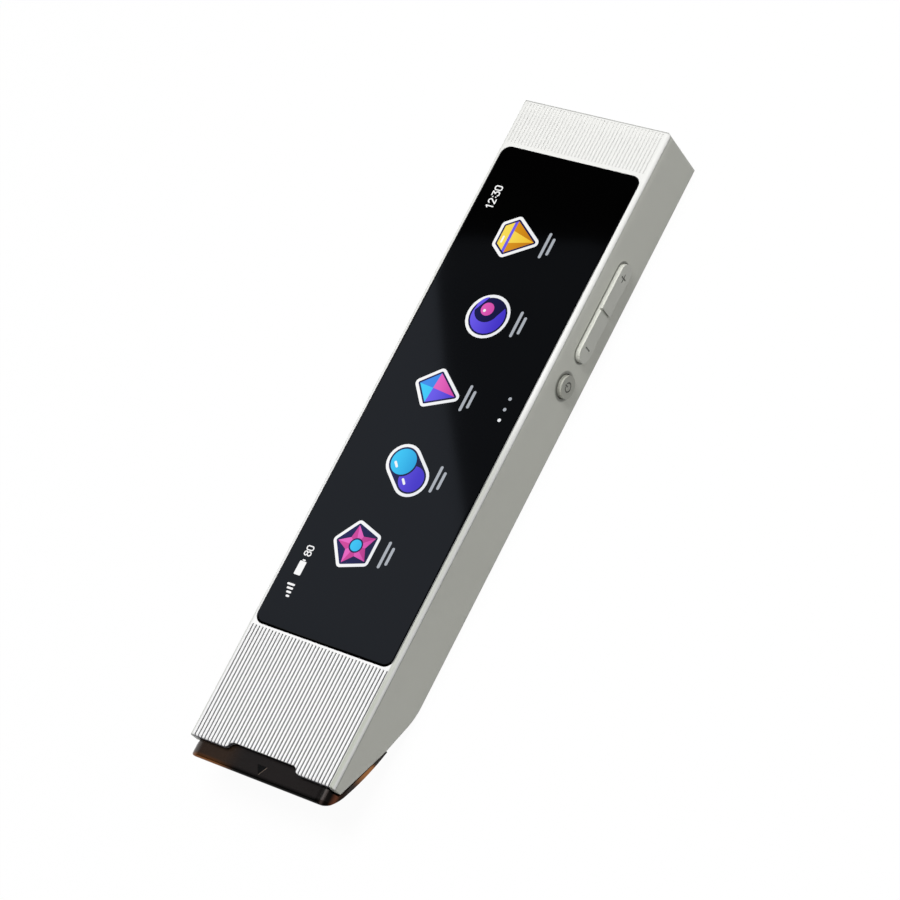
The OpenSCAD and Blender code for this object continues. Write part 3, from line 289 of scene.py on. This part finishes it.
def rear_edge_shadow(f):
    """The thin shaded line along the cover's rear edge."""
    return f.x.rising(68.45, 68.7) * f.z.rising(SEAM_Z, SEAM_Z + 0.2) * 0.6, shade("#6c6e69")


def sign_shadow(key, reach):
    """Shade in the signs sunk in a key's face, within reach millimetres of its middle line."""
    low, high = box_of(key)
    middle = (low + high) / 2
    end = high.x - middle.x - 1.0

    def shaded(f):
        sunk = f.y.rising(low.y + 0.03, low.y + 0.1) * (1 - f.y.rising(low.y + 0.22, low.y + 0.26))
        inside = 1 - f.z.away(middle.z).rising(reach, reach + 0.1)
        ends = 1 - f.x.away(middle.x).rising(end, end + 0.1)
        return sunk * inside * ends * 0.75, shade("#3d3f39")
    return shaded


def key_wall_shadow(key, share):
    """A key's own wall, shaded by the casing it stands in."""
    face = box_of(key)[0].y
    return lambda f: (f.y.rising(face + 0.25, face + 0.4) * share, shade("#6b6c64"))


def black_glass(name):
    """Toughened glass over a black print, with the faintest smears."""
    f = Finish(name, IOR=1.5)
    smear = f.noise(0.05, 4, (1, 3, 1))
    f.feed("Base Color", f.mix(smear, shade("#010101"), shade("#030303")))
    f.feed("Roughness", 0.035 + 0.03 * smear)
    f.bump(f.noise(0.08, 1), 0.02, 0.01)
    return f.owner


def hood_plastic(name):
    """Smoky dyed plastic: near black where thick, painted amber where light would come through it.

    Light and shade are painted into its colour: a painted grey reflection on the near half, painted
    near-black shade on the nose and key-side shoulder, and a painted glint on the far shoulder. Its
    rounded nose and key-side shoulder reflect only their own dark tone.
    """
    f = Finish(name, IOR=1.5, Transmission_Weight=0.15, Specular_IOR_Level=0.3)
    low, high = box_of("scan_hood")
    cloud = f.noise(0.25, 2)
    # Painted grey reflection on the near half; the far half shows the dye's brown
    far_half = f.y.rising(4, 9)
    tone = f.mix(far_half * (0.8 + 0.5 * (cloud - 0.5)), shade("#201c1b"), shade("#35271d"))
    # Painted near-black shade on the nose, with a painted amber glow at its far end
    nose = 1 - f.x.rising(low.x + 0.15, low.x + 1.1)
    tone = f.mix(nose * (1 - far_half) * 0.85, tone, shade("#070707"))
    tone = f.mix(nose * f.y.rising(5, 10) * 0.8, tone, shade("#7d4d27"))
    # Painted near-black shade on the key-side shoulder, with a painted reddish glow at its corner
    shoulder = 1 - f.y.rising(-14.6, -12.6)
    shoulder_shade_and_glow = f.mix(f.y.rising(-16.2, -15.2), shade("#6a3d2a"), shade("#090605"))
    tone = f.mix(shoulder * 0.95, tone, shoulder_shade_and_glow)
    # Painted amber glow of light through the thin flanks, which are otherwise dark
    flank = f.y.away(0).rising(high.y - 0.5, high.y - 0.1)
    glow = f.x.rising(-63.5, -60) - f.x.rising(-58.6, -57.4)
    tone = f.mix(flank, tone, f.mix(glow, shade("#1d130d"), shade("#8f5a2b")))
    # Painted glint, a painted reflection, on the far shoulder
    glint = f.y.rising(14.9, 15.3) * f.x.rising(low.x + 1.2, low.x + 3.0)
    tone = f.mix(glint * 0.8, tone, shade("#8d939c"))
    # The sunk arrow is darker, with a painted highlight along its lit edge
    arrow, edge_highlight = hood_arrow(f)
    tone = f.mix(arrow, tone, shade("#050505"))
    f.feed("Base Color", f.mix(edge_highlight, tone, shade("#a08f80")))
    f.feed("Metallic", 0.9 * (shoulder + nose))
    f.feed("Roughness", 0.14 + 0.08 * cloud)
    f.bump(f.noise(0.5, 1), 0.04, 0.02)
    return f.owner


def hood_arrow(f):
    """Masks of the arrow sunk in the hood's upper face, and of a painted highlight on its one lit
    edge.
    """
    tip, base, half = -68.05, -66.3, 1.05
    edge = half * (f.x - tip) / (base - tip)
    upper_face = f.z.rising(11, 11.2)
    span = (f.x.rising(tip, tip + 0.1) - f.x.rising(base - 0.05, base + 0.05)) * upper_face
    inside = (edge - f.y.away(0)).rising(-0.05, 0.05)
    edge_highlight = (1 - (f.y + edge).away(0).rising(0.05, 0.16)) * span
    return inside * span, edge_highlight * 0.45


def window_plastic(name):
    """Clear brown plastic of the scan window, with faint flow lines."""
    f = Finish(name, IOR=1.5, Transmission_Weight=0.95)
    flow = f.noise(0.3, 2, (1, 6, 1))
    f.feed("Base Color", f.mix(flow, shade("#9a7b59"), shade("#b8987a")))
    f.feed("Roughness", 0.05 + 0.04 * flow)
    f.bump(f.noise(0.6, 1), 0.03, 0.02)
    return f.owner


def circuit(name, code, trace):
    """Solder mask over copper traces, with vias and tinned pads."""
    f = Finish(name, IOR=1.5)
    lanes = f.stripes(0.55).rising(0.62, 0.72)
    cross = f.stripes(0.7, "Y").rising(0.66, 0.76)
    patch = f.cells(0.28, out="Color")
    area = f.node("ShaderNodeSeparateColor", {}, {0: patch})
    copper = lanes * area.rising(0.45, 0.5) + cross * (1 - area.rising(0.45, 0.5))
    vias = 1 - f.cells(0.9).rising(0.13, 0.17)
    mask = f.mix(copper * 0.8, shade(code), shade(trace))
    f.feed("Base Color", f.mix(vias, mask, shade("#c9b06a")))
    f.feed("Metallic", vias * 0.9)
    f.feed("Roughness", 0.42 - 0.12 * vias + 0.1 * (f.noise(0.8) - 0.5))
    f.bump(copper * 0.6 + vias * 0.4, 0.35, 0.03)
    return f.owner


def chip_epoxy(name):
    """Black moulding compound of chips, speckled with filler."""
    f = Finish(name, IOR=1.5)
    speck = f.noise(9, 4)
    f.feed("Base Color", f.mix(speck, shade("#17181a"), shade("#2b2c2f")))
    f.feed("Roughness", 0.55 + 0.15 * speck)
    f.bump(speck, 0.25, 0.01)
    return f.owner


def pinned_nylon(name):
    """Ivory connector bodies with rows of gilt pins."""
    f = Finish(name, IOR=1.5)
    pins = f.stripes(0.5, "Y").rising(0.6, 0.8)
    f.feed("Base Color", f.mix(pins * 0.7, shade("#d9d3c2"), shade("#b8953f")))
    f.feed("Metallic", pins * 0.6)
    f.feed("Roughness", 0.45 - 0.15 * pins + 0.1 * (f.noise(3) - 0.5))
    f.bump(pins, 0.3, 0.05)
    return f.owner


def drawn_metal(name, code, roughness=0.32, along=(12, 1, 1)):
    """Metal with fine rolling or turning lines along one axis."""
    f = Finish(name, Metallic=1.0)
    lines = f.noise(6, 3, along)
    stain = f.noise(0.25, 2)
    soft, edges = f.soft_edges(0.08)
    f.feed("Base Color", f.mix(stain, shade(code, 0.88), shade(code)))
    f.feed("Roughness", roughness + 0.18 * (lines - 0.5) - 0.08 * edges)
    f.bump(lines, 0.12, 0.008, soft)
    return f.owner


def pouch_foil(name):
    """Crinkled aluminium laminate of a battery pouch."""
    f = Finish(name, Metallic=0.85)
    crease = f.cells(0.35, "DISTANCE_TO_EDGE").rising(0.0, 0.12)
    # Painted shade darkens the creases, on top of their bump
    f.feed("Base Color", f.mix(crease, shade("#b9bcc2"), shade("#d6d8dc")))
    f.feed("Roughness", 0.38 + 0.12 * f.noise(1.5))
    f.bump(crease + 0.5 * f.noise(0.7), 0.25, 0.05)
    return f.owner


def fibrous(name, dark, light, scale=1.2):
    """Adhesive tape with a fibrous backing."""
    f = Finish(name)
    threads = f.noise(scale, 3, (8, 1, 1)) + f.noise(scale, 3, (1, 8, 1))
    f.feed("Base Color", f.mix(threads / 2, shade(dark), shade(light)))
    f.feed("Roughness", 0.7 + 0.1 * threads)
    f.bump(threads, 0.3, 0.02)
    return f.owner


def closed_foam(name):
    """Grey closed-cell foam."""
    f = Finish(name)
    pores = f.cells(5).rising(0.1, 0.55)
    # Painted shade darkens the pores, on top of their bump
    f.feed("Base Color", f.mix(pores, shade("#242426"), shade("#4c4c4f")))
    f.feed("Roughness", 0.85 + 0.1 * pores)
    f.bump(pores, 0.6, 0.06)
    return f.owner


def wire_jacket(name):
    """Silicone jacket of the battery's wires, red, and black for the one nearer the keys."""
    f = Finish(name, IOR=1.42)
    black = 1 - f.y.rising(-5.6, -5.4)
    dust = f.noise(2.5)
    red = f.mix(dust, shade("#a8221c"), shade("#bd322b"))
    f.feed("Base Color", f.mix(black, red, shade("#1c1c1e")))
    f.feed("Roughness", 0.42 + 0.15 * dust)
    f.bump(dust, 0.1, 0.02)
    return f.owner


def flex_film(name):
    """Amber polyimide film with copper tracks inside."""
    f = Finish(name, IOR=1.6, Coat_Roughness=0.15)
    tracks = f.stripes(0.45, "Y").rising(0.45, 0.6)
    f.feed("Base Color", f.mix(tracks, shade("#8a4a14"), shade("#c47b2e")))
    f.feed("Metallic", tracks * 0.5)
    f.feed("Roughness", 0.34 + 0.1 * f.noise(1.5))
    f.feed("Coat Weight", 0.5 + 0.3 * tracks)
    f.bump(tracks, 0.15, 0.02)
    return f.owner


def led_phosphor(name):
    """White LED packages with a yellow phosphor window."""
    f = Finish(name, IOR=1.5)
    low, high = box_of("led_chips")
    middle = (low.x + high.x) / 2
    window = 1 - f.x.away(middle).rising(0.3, 0.42)
    f.feed("Base Color", f.mix(window, shade("#efeee8"), shade("#e8d25a")))
    f.feed("Roughness", 0.35 + 0.2 * f.noise(4))
    f.bump(window, 0.3, 0.05)
    return f.owner


def clear_plastic(name):
    """Clear light-guide plastic with a frosted face."""
    f = Finish(name, IOR=1.49, Transmission_Weight=0.9)
    frost = f.noise(6)
    f.feed("Base Color", f.mix(frost, shade("#e6eef2"), shade("#f4f8fa")))
    f.feed("Roughness", 0.15 + 0.15 * frost)
    f.bump(frost, 0.1, 0.01)
    return f.owner


def coated_lens(name):
    """Camera lens with a purple-blue anti-reflection coat."""
    f = Finish(name, IOR=1.7, Coat_Weight=1.0, Coat_Tint=shade("#7d6bd0"), Coat_Roughness=0.02)
    rings = (f.y * f.y).rising(0.2, 2.2)
    f.feed("Base Color", f.mix(rings, shade("#0a0d18"), shade("#2a2140")))
    f.feed("Roughness", 0.05 + 0.05 * rings)
    f.bump(f.noise(1), 0.02, 0.01)
    return f.owner


def display_cell(name):
    """Back and rim of the display panel: black film over a steel tray."""
    f = Finish(name, IOR=1.5)
    weave = f.noise(3, 2)
    f.feed("Base Color", f.mix(weave, shade("#08090b"), shade("#111317")))
    f.feed("Roughness", 0.4 + 0.2 * weave)
    f.bump(weave, 0.1, 0.01)
    return f.owner


def glowing(dark, light):
    """One colour of the screen, lighter toward its upper edge, in the panel's fine pixel rows."""
    f = Finish("screen_" + light.strip("#"), IOR=1.5, Emission_Strength=1.0)
    rows = f.stripes(0.12).rising(0.05, 0.95)
    cells = f.stripes(0.12, "Y").rising(0.05, 0.95)
    tone = f.mix(f.y.rising(-3.5, 6.5), shade(dark), shade(light))
    f.feed("Emission Color", f.mix(0.06 * rows + 0.06 * cells, tone, shade("#000000")))
    f.feed("Base Color", f.mix(rows, shade("#010101"), shade("#030303")))
    f.feed("Roughness", 0.035 + 0.02 * cells)
    return f.owner


CASE_SHADES = [seam_shadow, key_gap_shadow, foot_shadow]
COVER_SHADES = [rear_painted_shade, groove_shadow, rim_shadow, seam_shadow, rear_edge_shadow]
FINISHES = {
    "casing": moulded("casing_plastic", "#e6e7dd", darken=CASE_SHADES, curve=rounded_walls),
    "cover": moulded("cover_plastic", "#f1f1f1", darken=COVER_SHADES, curve=rounded_walls),
    "keys": moulded("key_plastic", "#e7e8df", 0.45),
    "dark_plastic": moulded("dark_plastic", "#2b2b2d", 0.5),
    "front_glass": black_glass("front_glass"),
    "display": display_cell("display_cell"),
    "smoked_hood": hood_plastic("smoked_hood"),
    "window": window_plastic("scan_window"),
    "circuit_board": circuit("main_boards", "#123f27", "#2c6e45"),
    "lamp_board": circuit("lamp_board", "#d8d8d2", "#c2c2ba"),
    "chips": chip_epoxy("chip_epoxy"),
    "connectors": pinned_nylon("connectors"),
    "sheet_steel": drawn_metal("sheet_steel", "#c3c6ca", 0.3),
    "steel": drawn_metal("turned_steel", "#b4b7bb", 0.28, (1, 1, 6)),
    "light_metal": drawn_metal("pressed_plate", "#a9adb2", 0.4),
    "battery_foil": pouch_foil("battery_pouch"),
    "tape": fibrous("tape", "#1d1d1f", "#39393c"),
    "foam": closed_foam("foam"),
    "wire": wire_jacket("battery_wires"),
    "flex": flex_film("flex_film"),
    "gold": drawn_metal("gilt", "#d2a95a", 0.3),
    "lamp": led_phosphor("led_chips"),
    "clear_guide": clear_plastic("light_guide"),
    "lens": coated_lens("camera_lens"),
}
for cad_node in CAD_NODES.values():
    for material_slot in cad_node.material_slots:
        material_slot.material = FINISHES[material_slot.material.name]


# ---- Shapes ----

def add_piece(name, mesh, materials, body, replaced=()):
    """Links a mesh as a piece that rides on a body, with its finishes."""
    piece = bpy.data.objects.new(name, mesh)
    bpy.context.scene.collection.objects.link(piece)
    for material in materials:
        mesh.materials.append(material)
    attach(piece, body)
    if replaced:
        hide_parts(*replaced)


def rounded_outline(half_l, half_w, radius, inset=0.0, steps=12):
    """Corner points of a rounded rectangle drawn in by inset, counter-clockwise."""
    r = max(radius - inset, 0.05)
    corner_x, corner_y = half_l - inset - r, half_w - inset - r
    points = []
    for quarter, (sx, sy) in enumerate(((1, 1), (-1, 1), (-1, -1), (1, -1))):
        for i in range(steps + 1):
            a = math.radians(90) * (quarter + i / steps)
            points.append((sx * corner_x + r * math.cos(a), sy * corner_y + r * math.sin(a)))
    return points


def stacked(rings, name):
    """Closed mesh from rings of points, each as (outline, z), lowest first."""
    form = bmesh.new()
    loops = [[form.verts.new((x * MM, y * MM, z * MM)) for x, y in outline]
             for outline, z in rings]
    count = len(loops[0])
    form.faces.new(loops[0][::-1])
    for low, high in zip(loops, loops[1:]):
        for i in range(count):
            j = (i + 1) % count
            form.faces.new((low[i], low[j], high[j], high[i]))
    form.faces.new(loops[-1])
    mesh = bpy.data.meshes.new(name)
    form.to_mesh(mesh)
    form.free()
    return mesh


def smooth(mesh, angle=35):
    """Smooth shading, with edges sharper than the angle kept."""
    mesh.shade_smooth()
    mesh.set_sharp_from_angle(angle=math.radians(angle))
    return mesh


def softened(node, picked, width, segments=4):
    """A copy of a CAD node's mesh with its picked sharp edges rounded to width millimetres."""
    form = bmesh.new()
    form.from_mesh(CAD_NODES[node].data)
    bmesh.ops.remove_doubles(form, verts=form.verts, dist=0.0005 * MM)
    bmesh.ops.dissolve_limit(form, angle_limit=math.radians(0.3), verts=form.verts,
                             edges=form.edges)
    sharp = [e for e in form.edges if e.is_manifold and e.calc_face_angle() > math.radians(40)]
    chosen = [e for e in sharp if all(picked(v.co / MM) for v in e.verts)]
    bmesh.ops.bevel(form, geom=chosen, offset=width * MM, segments=segments, profile=0.5,
                    affect="EDGES", clamp_overlap=True)
    mesh = bpy.data.meshes.new(node + "_soft")
    form.to_mesh(mesh)
    form.free()
    # The solid's own shading and finish numbers don't fit the rounded copy
    for layer in ("custom_normal", "sharp_edge", "sharp_face", "material_index"):
        if layer in mesh.attributes:
            mesh.attributes.remove(mesh.attributes[layer])
    return smooth(mesh)


# ---- Front glass with its curved rim ----

GLASS_LOW, GLASS_HIGH = box_of("cover_glass")
GLASS_MID = (GLASS_LOW + GLASS_HIGH) / 2
GLASS_HALF = (GLASS_HIGH - GLASS_LOW) / 2
GLASS_CORNER = 1.9
# Depth of the glass face below the CAD glass, which leaves room for the lit shapes
PRINT_LIFT = 0.02


def front_glass():
    """Glass plate whose rim curves down a little."""
    rim_w, rim_drop, steps = 0.4, 0.07, 8
    top = GLASS_HIGH.z - PRINT_LIFT

    def outline(inset):
        points = rounded_outline(GLASS_HALF.x, GLASS_HALF.y, GLASS_CORNER, inset)
        return [(x + GLASS_MID.x, y + GLASS_MID.y) for x, y in points]

    rings = [(outline(0.04), GLASS_LOW.z), (outline(0), GLASS_LOW.z + 0.04)]
    for i in range(steps + 1):
        share = i / steps
        rings.append((outline(rim_w * share), top - rim_drop * (1 - share) ** 2))
    mesh = smooth(stacked(rings, "front_glass"), 40)
    finish = FINISHES["front_glass"]
    add_piece("front_glass", mesh, [finish], "root", ["cover_glass"])


front_glass()


# ---- Screen ----

SCREEN_COLOURS = {
    "white": ("#f2f4f7", "#ffffff"), "navy": ("#10103a", "#1b1a55"),
    "grey": ("#aeb3ba", "#d5d8dc"), "pink": ("#c93a9e", "#f06cc8"),
    "rose": ("#a82c86", "#d4489f"), "cyan": ("#1494d8", "#3fd0ff"),
    "blue": ("#1d63cf", "#3f8ff0"), "indigo": ("#4231c9", "#7361f5"),
    "yellow": ("#f2b70f", "#ffe25a"), "amber": ("#b9700f", "#e29a1c"),
}
GLOWS = {name: glowing(dark, light) for name, (dark, light) in SCREEN_COLOURS.items()}
# Rise from one layer of lit shapes to the next, and their depth below the glass face
PRINT_STEP, PRINT_ROOT = 0.003, 0.005
# Strokes of the numbers, 2 high
DIGIT_STROKES = {
    "0": [(0, 0.3), (0, 1.7), (0.3, 2), (0.8, 2), (1.1, 1.7), (1.1, 0.3), (0.8, 0), (0.3, 0),
          (0, 0.3)],
    "1": [(0.25, 1.6), (0.7, 2), (0.7, 0)],
    "2": [(0, 1.6), (0.3, 2), (0.8, 2), (1.1, 1.6), (1.1, 1.3), (0, 0), (1.1, 0)],
    "3": [(0, 2), (1.1, 2), (0.5, 1.2), (0.9, 1.1), (1.1, 0.7), (1.1, 0.4), (0.8, 0), (0.3, 0),
          (0, 0.3)],
    "8": [(0.3, 1.1), (0, 1.4), (0, 1.7), (0.3, 2), (0.8, 2), (1.1, 1.7), (1.1, 1.4), (0.8, 1.1),
          (0.3, 1.1), (0, 0.7), (0, 0.3), (0.3, 0), (0.8, 0), (1.1, 0.3), (1.1, 0.7), (0.8, 1.1)],
}


def disc(x, y, r, steps=28):
    """Outline of a disc."""
    turns = [2 * math.pi * i / steps for i in range(steps)]
    return [(x + r * math.cos(a), y + r * math.sin(a)) for a in turns]


def wrapped(points, r=0.0):
    """Outline of a band stretched round discs of radius r at the points, counter-clockwise."""
    spots = sorted({spot for x, y in points for spot in (disc(x, y, r) if r else [(x, y)])})

    def left_turn(a, b, c):
        return (b[0] - a[0]) * (c[1] - a[1]) - (b[1] - a[1]) * (c[0] - a[0]) > 1e-12

    def chain(row):
        kept = []
        for spot in row:
            while len(kept) > 1 and not left_turn(kept[-2], kept[-1], spot):
                kept.pop()
            kept.append(spot)
        return kept[:-1]
    return chain(spots) + chain(spots[::-1])


def starburst(points, tip_r, dip_r, first=90.0):
    """Outline of a star with that many points."""
    radii = [tip_r, dip_r] * points
    turns = [math.radians(first + 180 / points * i) for i in range(2 * points)]
    return [(r * math.cos(a), r * math.sin(a)) for r, a in zip(radii, turns)]


def screen_print(name, place, layers):
    """Lit shapes on the glass: each of layers is a colour and its outlines, the lowest first."""
    form = bmesh.new()
    colours = []
    face_z = GLASS_HIGH.z - PRINT_LIFT
    for level, (colour, outlines) in enumerate(layers, 1):
        if colour not in colours:
            colours.append(colour)
        for outline in outlines:
            spots = [((x + place[0]) * MM, (y + place[1]) * MM) for x, y in outline]
            top, low = [[form.verts.new((x, y, z * MM)) for x, y in spots]
                        for z in (face_z + level * PRINT_STEP, face_z - PRINT_ROOT)]
            count = len(outline)
            faces = [form.faces.new(top), form.faces.new(low[::-1])]
            faces += [form.faces.new((top[i], low[i], low[(i + 1) % count], top[(i + 1) % count]))
                      for i in range(count)]
            for face in faces:
                face.material_index = colours.index(colour)
    mesh = bpy.data.meshes.new(name)
    form.to_mesh(mesh)
    form.free()
    add_piece(name, mesh, [GLOWS[colour] for colour in colours], "root")


def backed(points, r):
    """White border and dark line that set a motif off from the black screen."""
    border_w, line_w = 0.95, 0.35
    return [("white", [wrapped(points, r + border_w)]), ("navy", [wrapped(points, r + line_w)])]


def star_motif():
    """A five-pointed star with a round middle."""
    tips = starburst(5, 4.0, 2.1)
    facets = [[(0, 0), tips[i], tips[(i + 1) % 10]] for i in range(0, 10, 2)]
    return backed(tips[::2], 0) + [
        ("pink", [tips]), ("rose", facets), ("navy", [disc(0, 0, 1.45)]),
        ("cyan", [disc(0, 0, 1.15)])]


def discs_motif():
    """Two discs, the upper over the lower."""
    low, high, r = (-1.35, -1.6), (1.35, 1.6), 2.6
    glints = [wrapped([(x - 1.2, y + 0.9), (x - 0.5, y + 1.55)], 0.24) for x, y in (low, high)]
    return backed([low, high], r) + [
        ("indigo", [disc(*low, r)]), ("navy", [disc(*high, r + 0.35)]), ("cyan", [disc(*high, r)]),
        ("white", glints)]


def kite_motif():
    """A kite in four colours."""
    top, right, foot, left, middle = (0.4, 4.1), (3.3, 0.7), (-0.4, -4.1), (-2.9, 1.3), (0.15, 1.0)
    return backed([top, right, foot, left], 0) + [
        ("cyan", [[top, left, middle]]), ("blue", [[top, middle, right]]),
        ("indigo", [[left, foot, middle]]), ("pink", [[middle, foot, right]])]


def arc(x, y, r, first, turn, steps):
    """Points along an arc, turn degrees apart."""
    turns = [math.radians(first + turn * i) for i in range(steps)]
    return [(x + r * math.cos(a), y + r * math.sin(a)) for a in turns]


def moon_motif():
    """A crescent that holds a small ball."""
    r = 3.55
    crescent = arc(0, 0, r, 71, 15, 17) + arc(1.25, 0.75, 2.6, 255, -15, 17)
    return backed([(0, 0)], r) + [
        ("indigo", [crescent]), ("pink", [disc(1.35, 0.8, 1.35)]),
        ("white", [disc(0.95, 1.25, 0.3)])]


def gem_motif():
    """A cut gem."""
    crown = [(-3.4, 1.2), (-1.9, 3.4), (1.9, 3.4), (3.4, 1.2)]
    foot = (0, -3.9)
    return backed(crown + [foot], 0) + [
        ("yellow", [[foot, crown[3], crown[2], crown[1], crown[0]]]),
        ("amber", [[foot, (1.3, 1.2), crown[3]], [foot, crown[0], (-1.3, 1.2)]]),
        ("indigo", [[crown[0], (-3.0, 1.8), (3.0, 1.8), crown[3]]]),
        ("white", [wrapped([(-1.4, 2.7), (-0.3, 2.7)], 0.2)])]


def strokes(text, height, width):
    """Outlines of numbers drawn with round-ended strokes, from the left at x 0."""
    scale, colon_w, digit_w = height / 2, 0.32 * height, 0.78 * height
    x, shapes = 0.0, []
    for sign in text:
        if sign == ":":
            shapes += [disc(x + 0.1 * height, y * height, width * 0.6, 12) for y in (0.28, 0.72)]
            x += colon_w
            continue
        path = [(x + px * scale, py * scale) for px, py in DIGIT_STROKES[sign]]
        shapes += [wrapped([a, b], width / 2) for a, b in zip(path, path[1:])]
        x += digit_w
    return shapes


def screen():
    """A plain menu: five motifs with short bars below them, a clock, signal bars and a battery."""
    first_x, pitch, rows, bars_drop, status_y = -23.6, 16.2, (3.1, 0.7), 7.0, 11.0
    motifs = {"star": star_motif, "discs": discs_motif, "kite": kite_motif, "moon": moon_motif,
              "gem": gem_motif}
    bars = [wrapped([(-2.4, 0.55), (2.4, 0.55)], 0.3), wrapped([(-1.5, -0.65), (1.5, -0.65)], 0.3)]
    for i, (name, motif) in enumerate(motifs.items()):
        x, y = first_x + pitch * i, rows[i % 2]
        screen_print("motif_" + name, (x, y), motif())
        screen_print("bars_" + name, (x, y - bars_drop), [("grey", bars)])
    screen_print("clock", (45.6, 11.2), [("white", strokes("12:30", 1.5, 0.24))])
    signal = [wrapped([(0.75 * i, 0.12), (0.75 * i, 0.5 + 0.32 * i)], 0.2) for i in range(4)]
    screen_print("signal_bars", (-36.4, status_y), [("white", signal)])
    cell = wrapped([(0, 0.15), (2.4, 0.15), (2.4, 1.25), (0, 1.25)], 0.18)
    cell_tip = wrapped([(2.8, 0.5), (2.8, 0.9)], 0.14)
    screen_print("battery_mark", (-32.0, status_y), [("white", [cell, cell_tip])])
    screen_print("charge_number", (-28.2, status_y), [("white", strokes("80", 1.4, 0.22))])
    dots = [disc(6.6 + 2.2 * i, -12.0, 0.35, 16) for i in range(3)]
    screen_print("page_dots", (0, 0), [("white", dots[:1]), ("grey", dots[1:])])


screen()


# ---- Keys ----

def soft_key(name, node, body, width, code, wall_share):
    """A key with the rim of its face rounded to width, and its sunk signs shaded."""
    low, high = box_of(node)
    middle, half_h = (low + high) / 2, (high.z - low.z) / 2
    straight = (high.x - low.x) / 2 - half_h

    def on_rim(p):
        beyond = max(abs(p.x - middle.x) - straight, 0)
        return p.y < low.y + 0.005 and math.hypot(beyond, p.z - middle.z) > half_h - 0.25
    shades = [sign_shadow(node, 1.25), key_wall_shadow(node, wall_share)]
    finish = moulded(name, code, 0.45, darken=shades)
    add_piece(name, softened(node, on_rim, width), [finish], body, [node])


soft_key("volume_rocker", "rocker_key", "rocker", 0.28, "#dfe0d7", 0.05)
soft_key("power_button", "power_key", "power", 0.4, "#b8b9af", 0.45)


# ---- Floor, light and camera ----

def glow_only(name, colour, strength):
    """A surface of plain light."""
    paint = Paintwork(bpy.data.materials.new(name))
    paint.show(paint.node("ShaderNodeEmission", {}, {"Color": colour, "Strength": strength}))
    return paint.owner


def floor_paint(albedo, own_share, white):
    """Pale floor, which the camera sees as white but for own_share of the shadow on it."""
    paint = Paintwork(bpy.data.materials.new("floor"))
    lit = paint.node("ShaderNodeBsdfDiffuse", {}, {"Color": (albedo, albedo, albedo, 1)})
    light = paint.node("ShaderNodeEmission", {}, {"Strength": white})
    share = paint.seen_directly() * (1 - own_share)
    paint.show(paint.node("ShaderNodeMixShader", {}, {0: share, 1: lit, 2: light}))
    return paint.owner


# The places and sizes from here on are in metres.

FLOOR_HALF = 3
# Just under the part, so that the two don't share a plane
FLOOR_Z = -0.05 * MM


def card(name, corners, material):
    """A flat stage sheet with these corners."""
    mesh = bpy.data.meshes.new(name)
    mesh.from_pydata(corners, [], [tuple(range(len(corners)))])
    mesh.materials.append(material)
    sheet = bpy.data.objects.new(name, mesh)
    bpy.context.scene.collection.objects.link(sheet)
    return sheet


def reflection_card(name, outline, z, colour, strength):
    """A sheet over the part that only glossy surfaces show."""
    sheet = card(name, [(x, y, z) for x, y in outline], glow_only(name, colour, strength))
    sheet.visible_camera = sheet.visible_diffuse = False
    sheet.visible_shadow = sheet.visible_transmission = False


def studio_cards():
    """A dark ceiling, two slate sheets whose edges cross the front glass, and one for the hood."""
    black, slate, pale, z = shade("#000000"), shade("#abb4c4"), shade("#d6d8d8"), 0.6
    reflection_card("dark_ceiling", [(-0.6, 0), (1.4, 0), (1.4, 1.2), (-0.6, 1.2)], z, black, 0.0)
    reflection_card("slate_sheet", [(0.08, 0), (0.08, 0.303), (0.29, 0.49), (0.08, 1.2)],
                    z - 0.002, slate, 0.95)
    reflection_card("dim_sheet", [(0.09, 0.25), (0.288, 0.25), (0.288, 0.52), (0.09, 0.52)],
                    z - 0.001, slate, 0.22)
    reflection_card("hood_sheet", [(0.02, 0.403), (0.066, 0.403), (0.066, 0.436), (0.02, 0.436)],
                    z - 0.003, pale, 1.05)


def softbox(name, place, target, size, power):
    """A round soft light that faces a target."""
    lamp = bpy.data.lights.new(name, "AREA")
    lamp.shape, lamp.size, lamp.energy = "DISK", size, power
    holder = bpy.data.objects.new(name, lamp)
    bpy.context.scene.collection.objects.link(holder)
    turn = (Vector(place) - Vector(target)).to_track_quat("Z", "Y")
    holder.matrix_world = Matrix.Translation(place) @ turn.to_matrix().to_4x4()


def studio_air(ambient):
    """White for the camera and for mirrors, and a weak even light for all else."""
    paint = Paintwork(bpy.data.worlds.new("studio"))
    bpy.context.scene.world = paint.owner
    level = ambient + (1 - ambient) * paint.seen_directly()
    paint.tree.links.new(level.socket, paint.tree.nodes["Background"].inputs["Strength"])
    paint.tree.nodes["Background"].inputs["Color"].default_value = (1, 1, 1, 1)


def camera():
    """Long lens from the front and the key side, rolled so that the part crosses the picture."""
    place = Vector((-156.95, -340.2, 487.1)) * MM
    back, up = Vector((-0.25903, -0.55735, 0.78884)), Vector((0.85740, 0.24335, 0.45348))
    lens = bpy.data.cameras.new("camera")
    lens.lens, lens.sensor_width = 135.17, 36.0
    lens.clip_start, lens.clip_end = 0.05, 20.0
    holder = bpy.data.objects.new("camera", lens)
    bpy.context.scene.collection.objects.link(holder)
    turn = Matrix((up.cross(back), up, back)).transposed().to_4x4()
    holder.matrix_world = Matrix.Translation(place) @ turn
    bpy.context.scene.camera = holder


floor_corners = [(x * FLOOR_HALF, y * FLOOR_HALF, FLOOR_Z)
                 for x, y in ((-1, -1), (1, -1), (1, 1), (-1, 1))]
card("floor", floor_corners, floor_paint(albedo=0.31, own_share=0.12, white=1.09))
studio_cards()
studio_air(ambient=0.28)
softbox("key_softbox", place=(0.1, -0.06, 0.9), target=(0, 0, 0), size=0.5, power=7.3)
camera()
bpy.context.scene.view_settings.view_transform = "Standard"
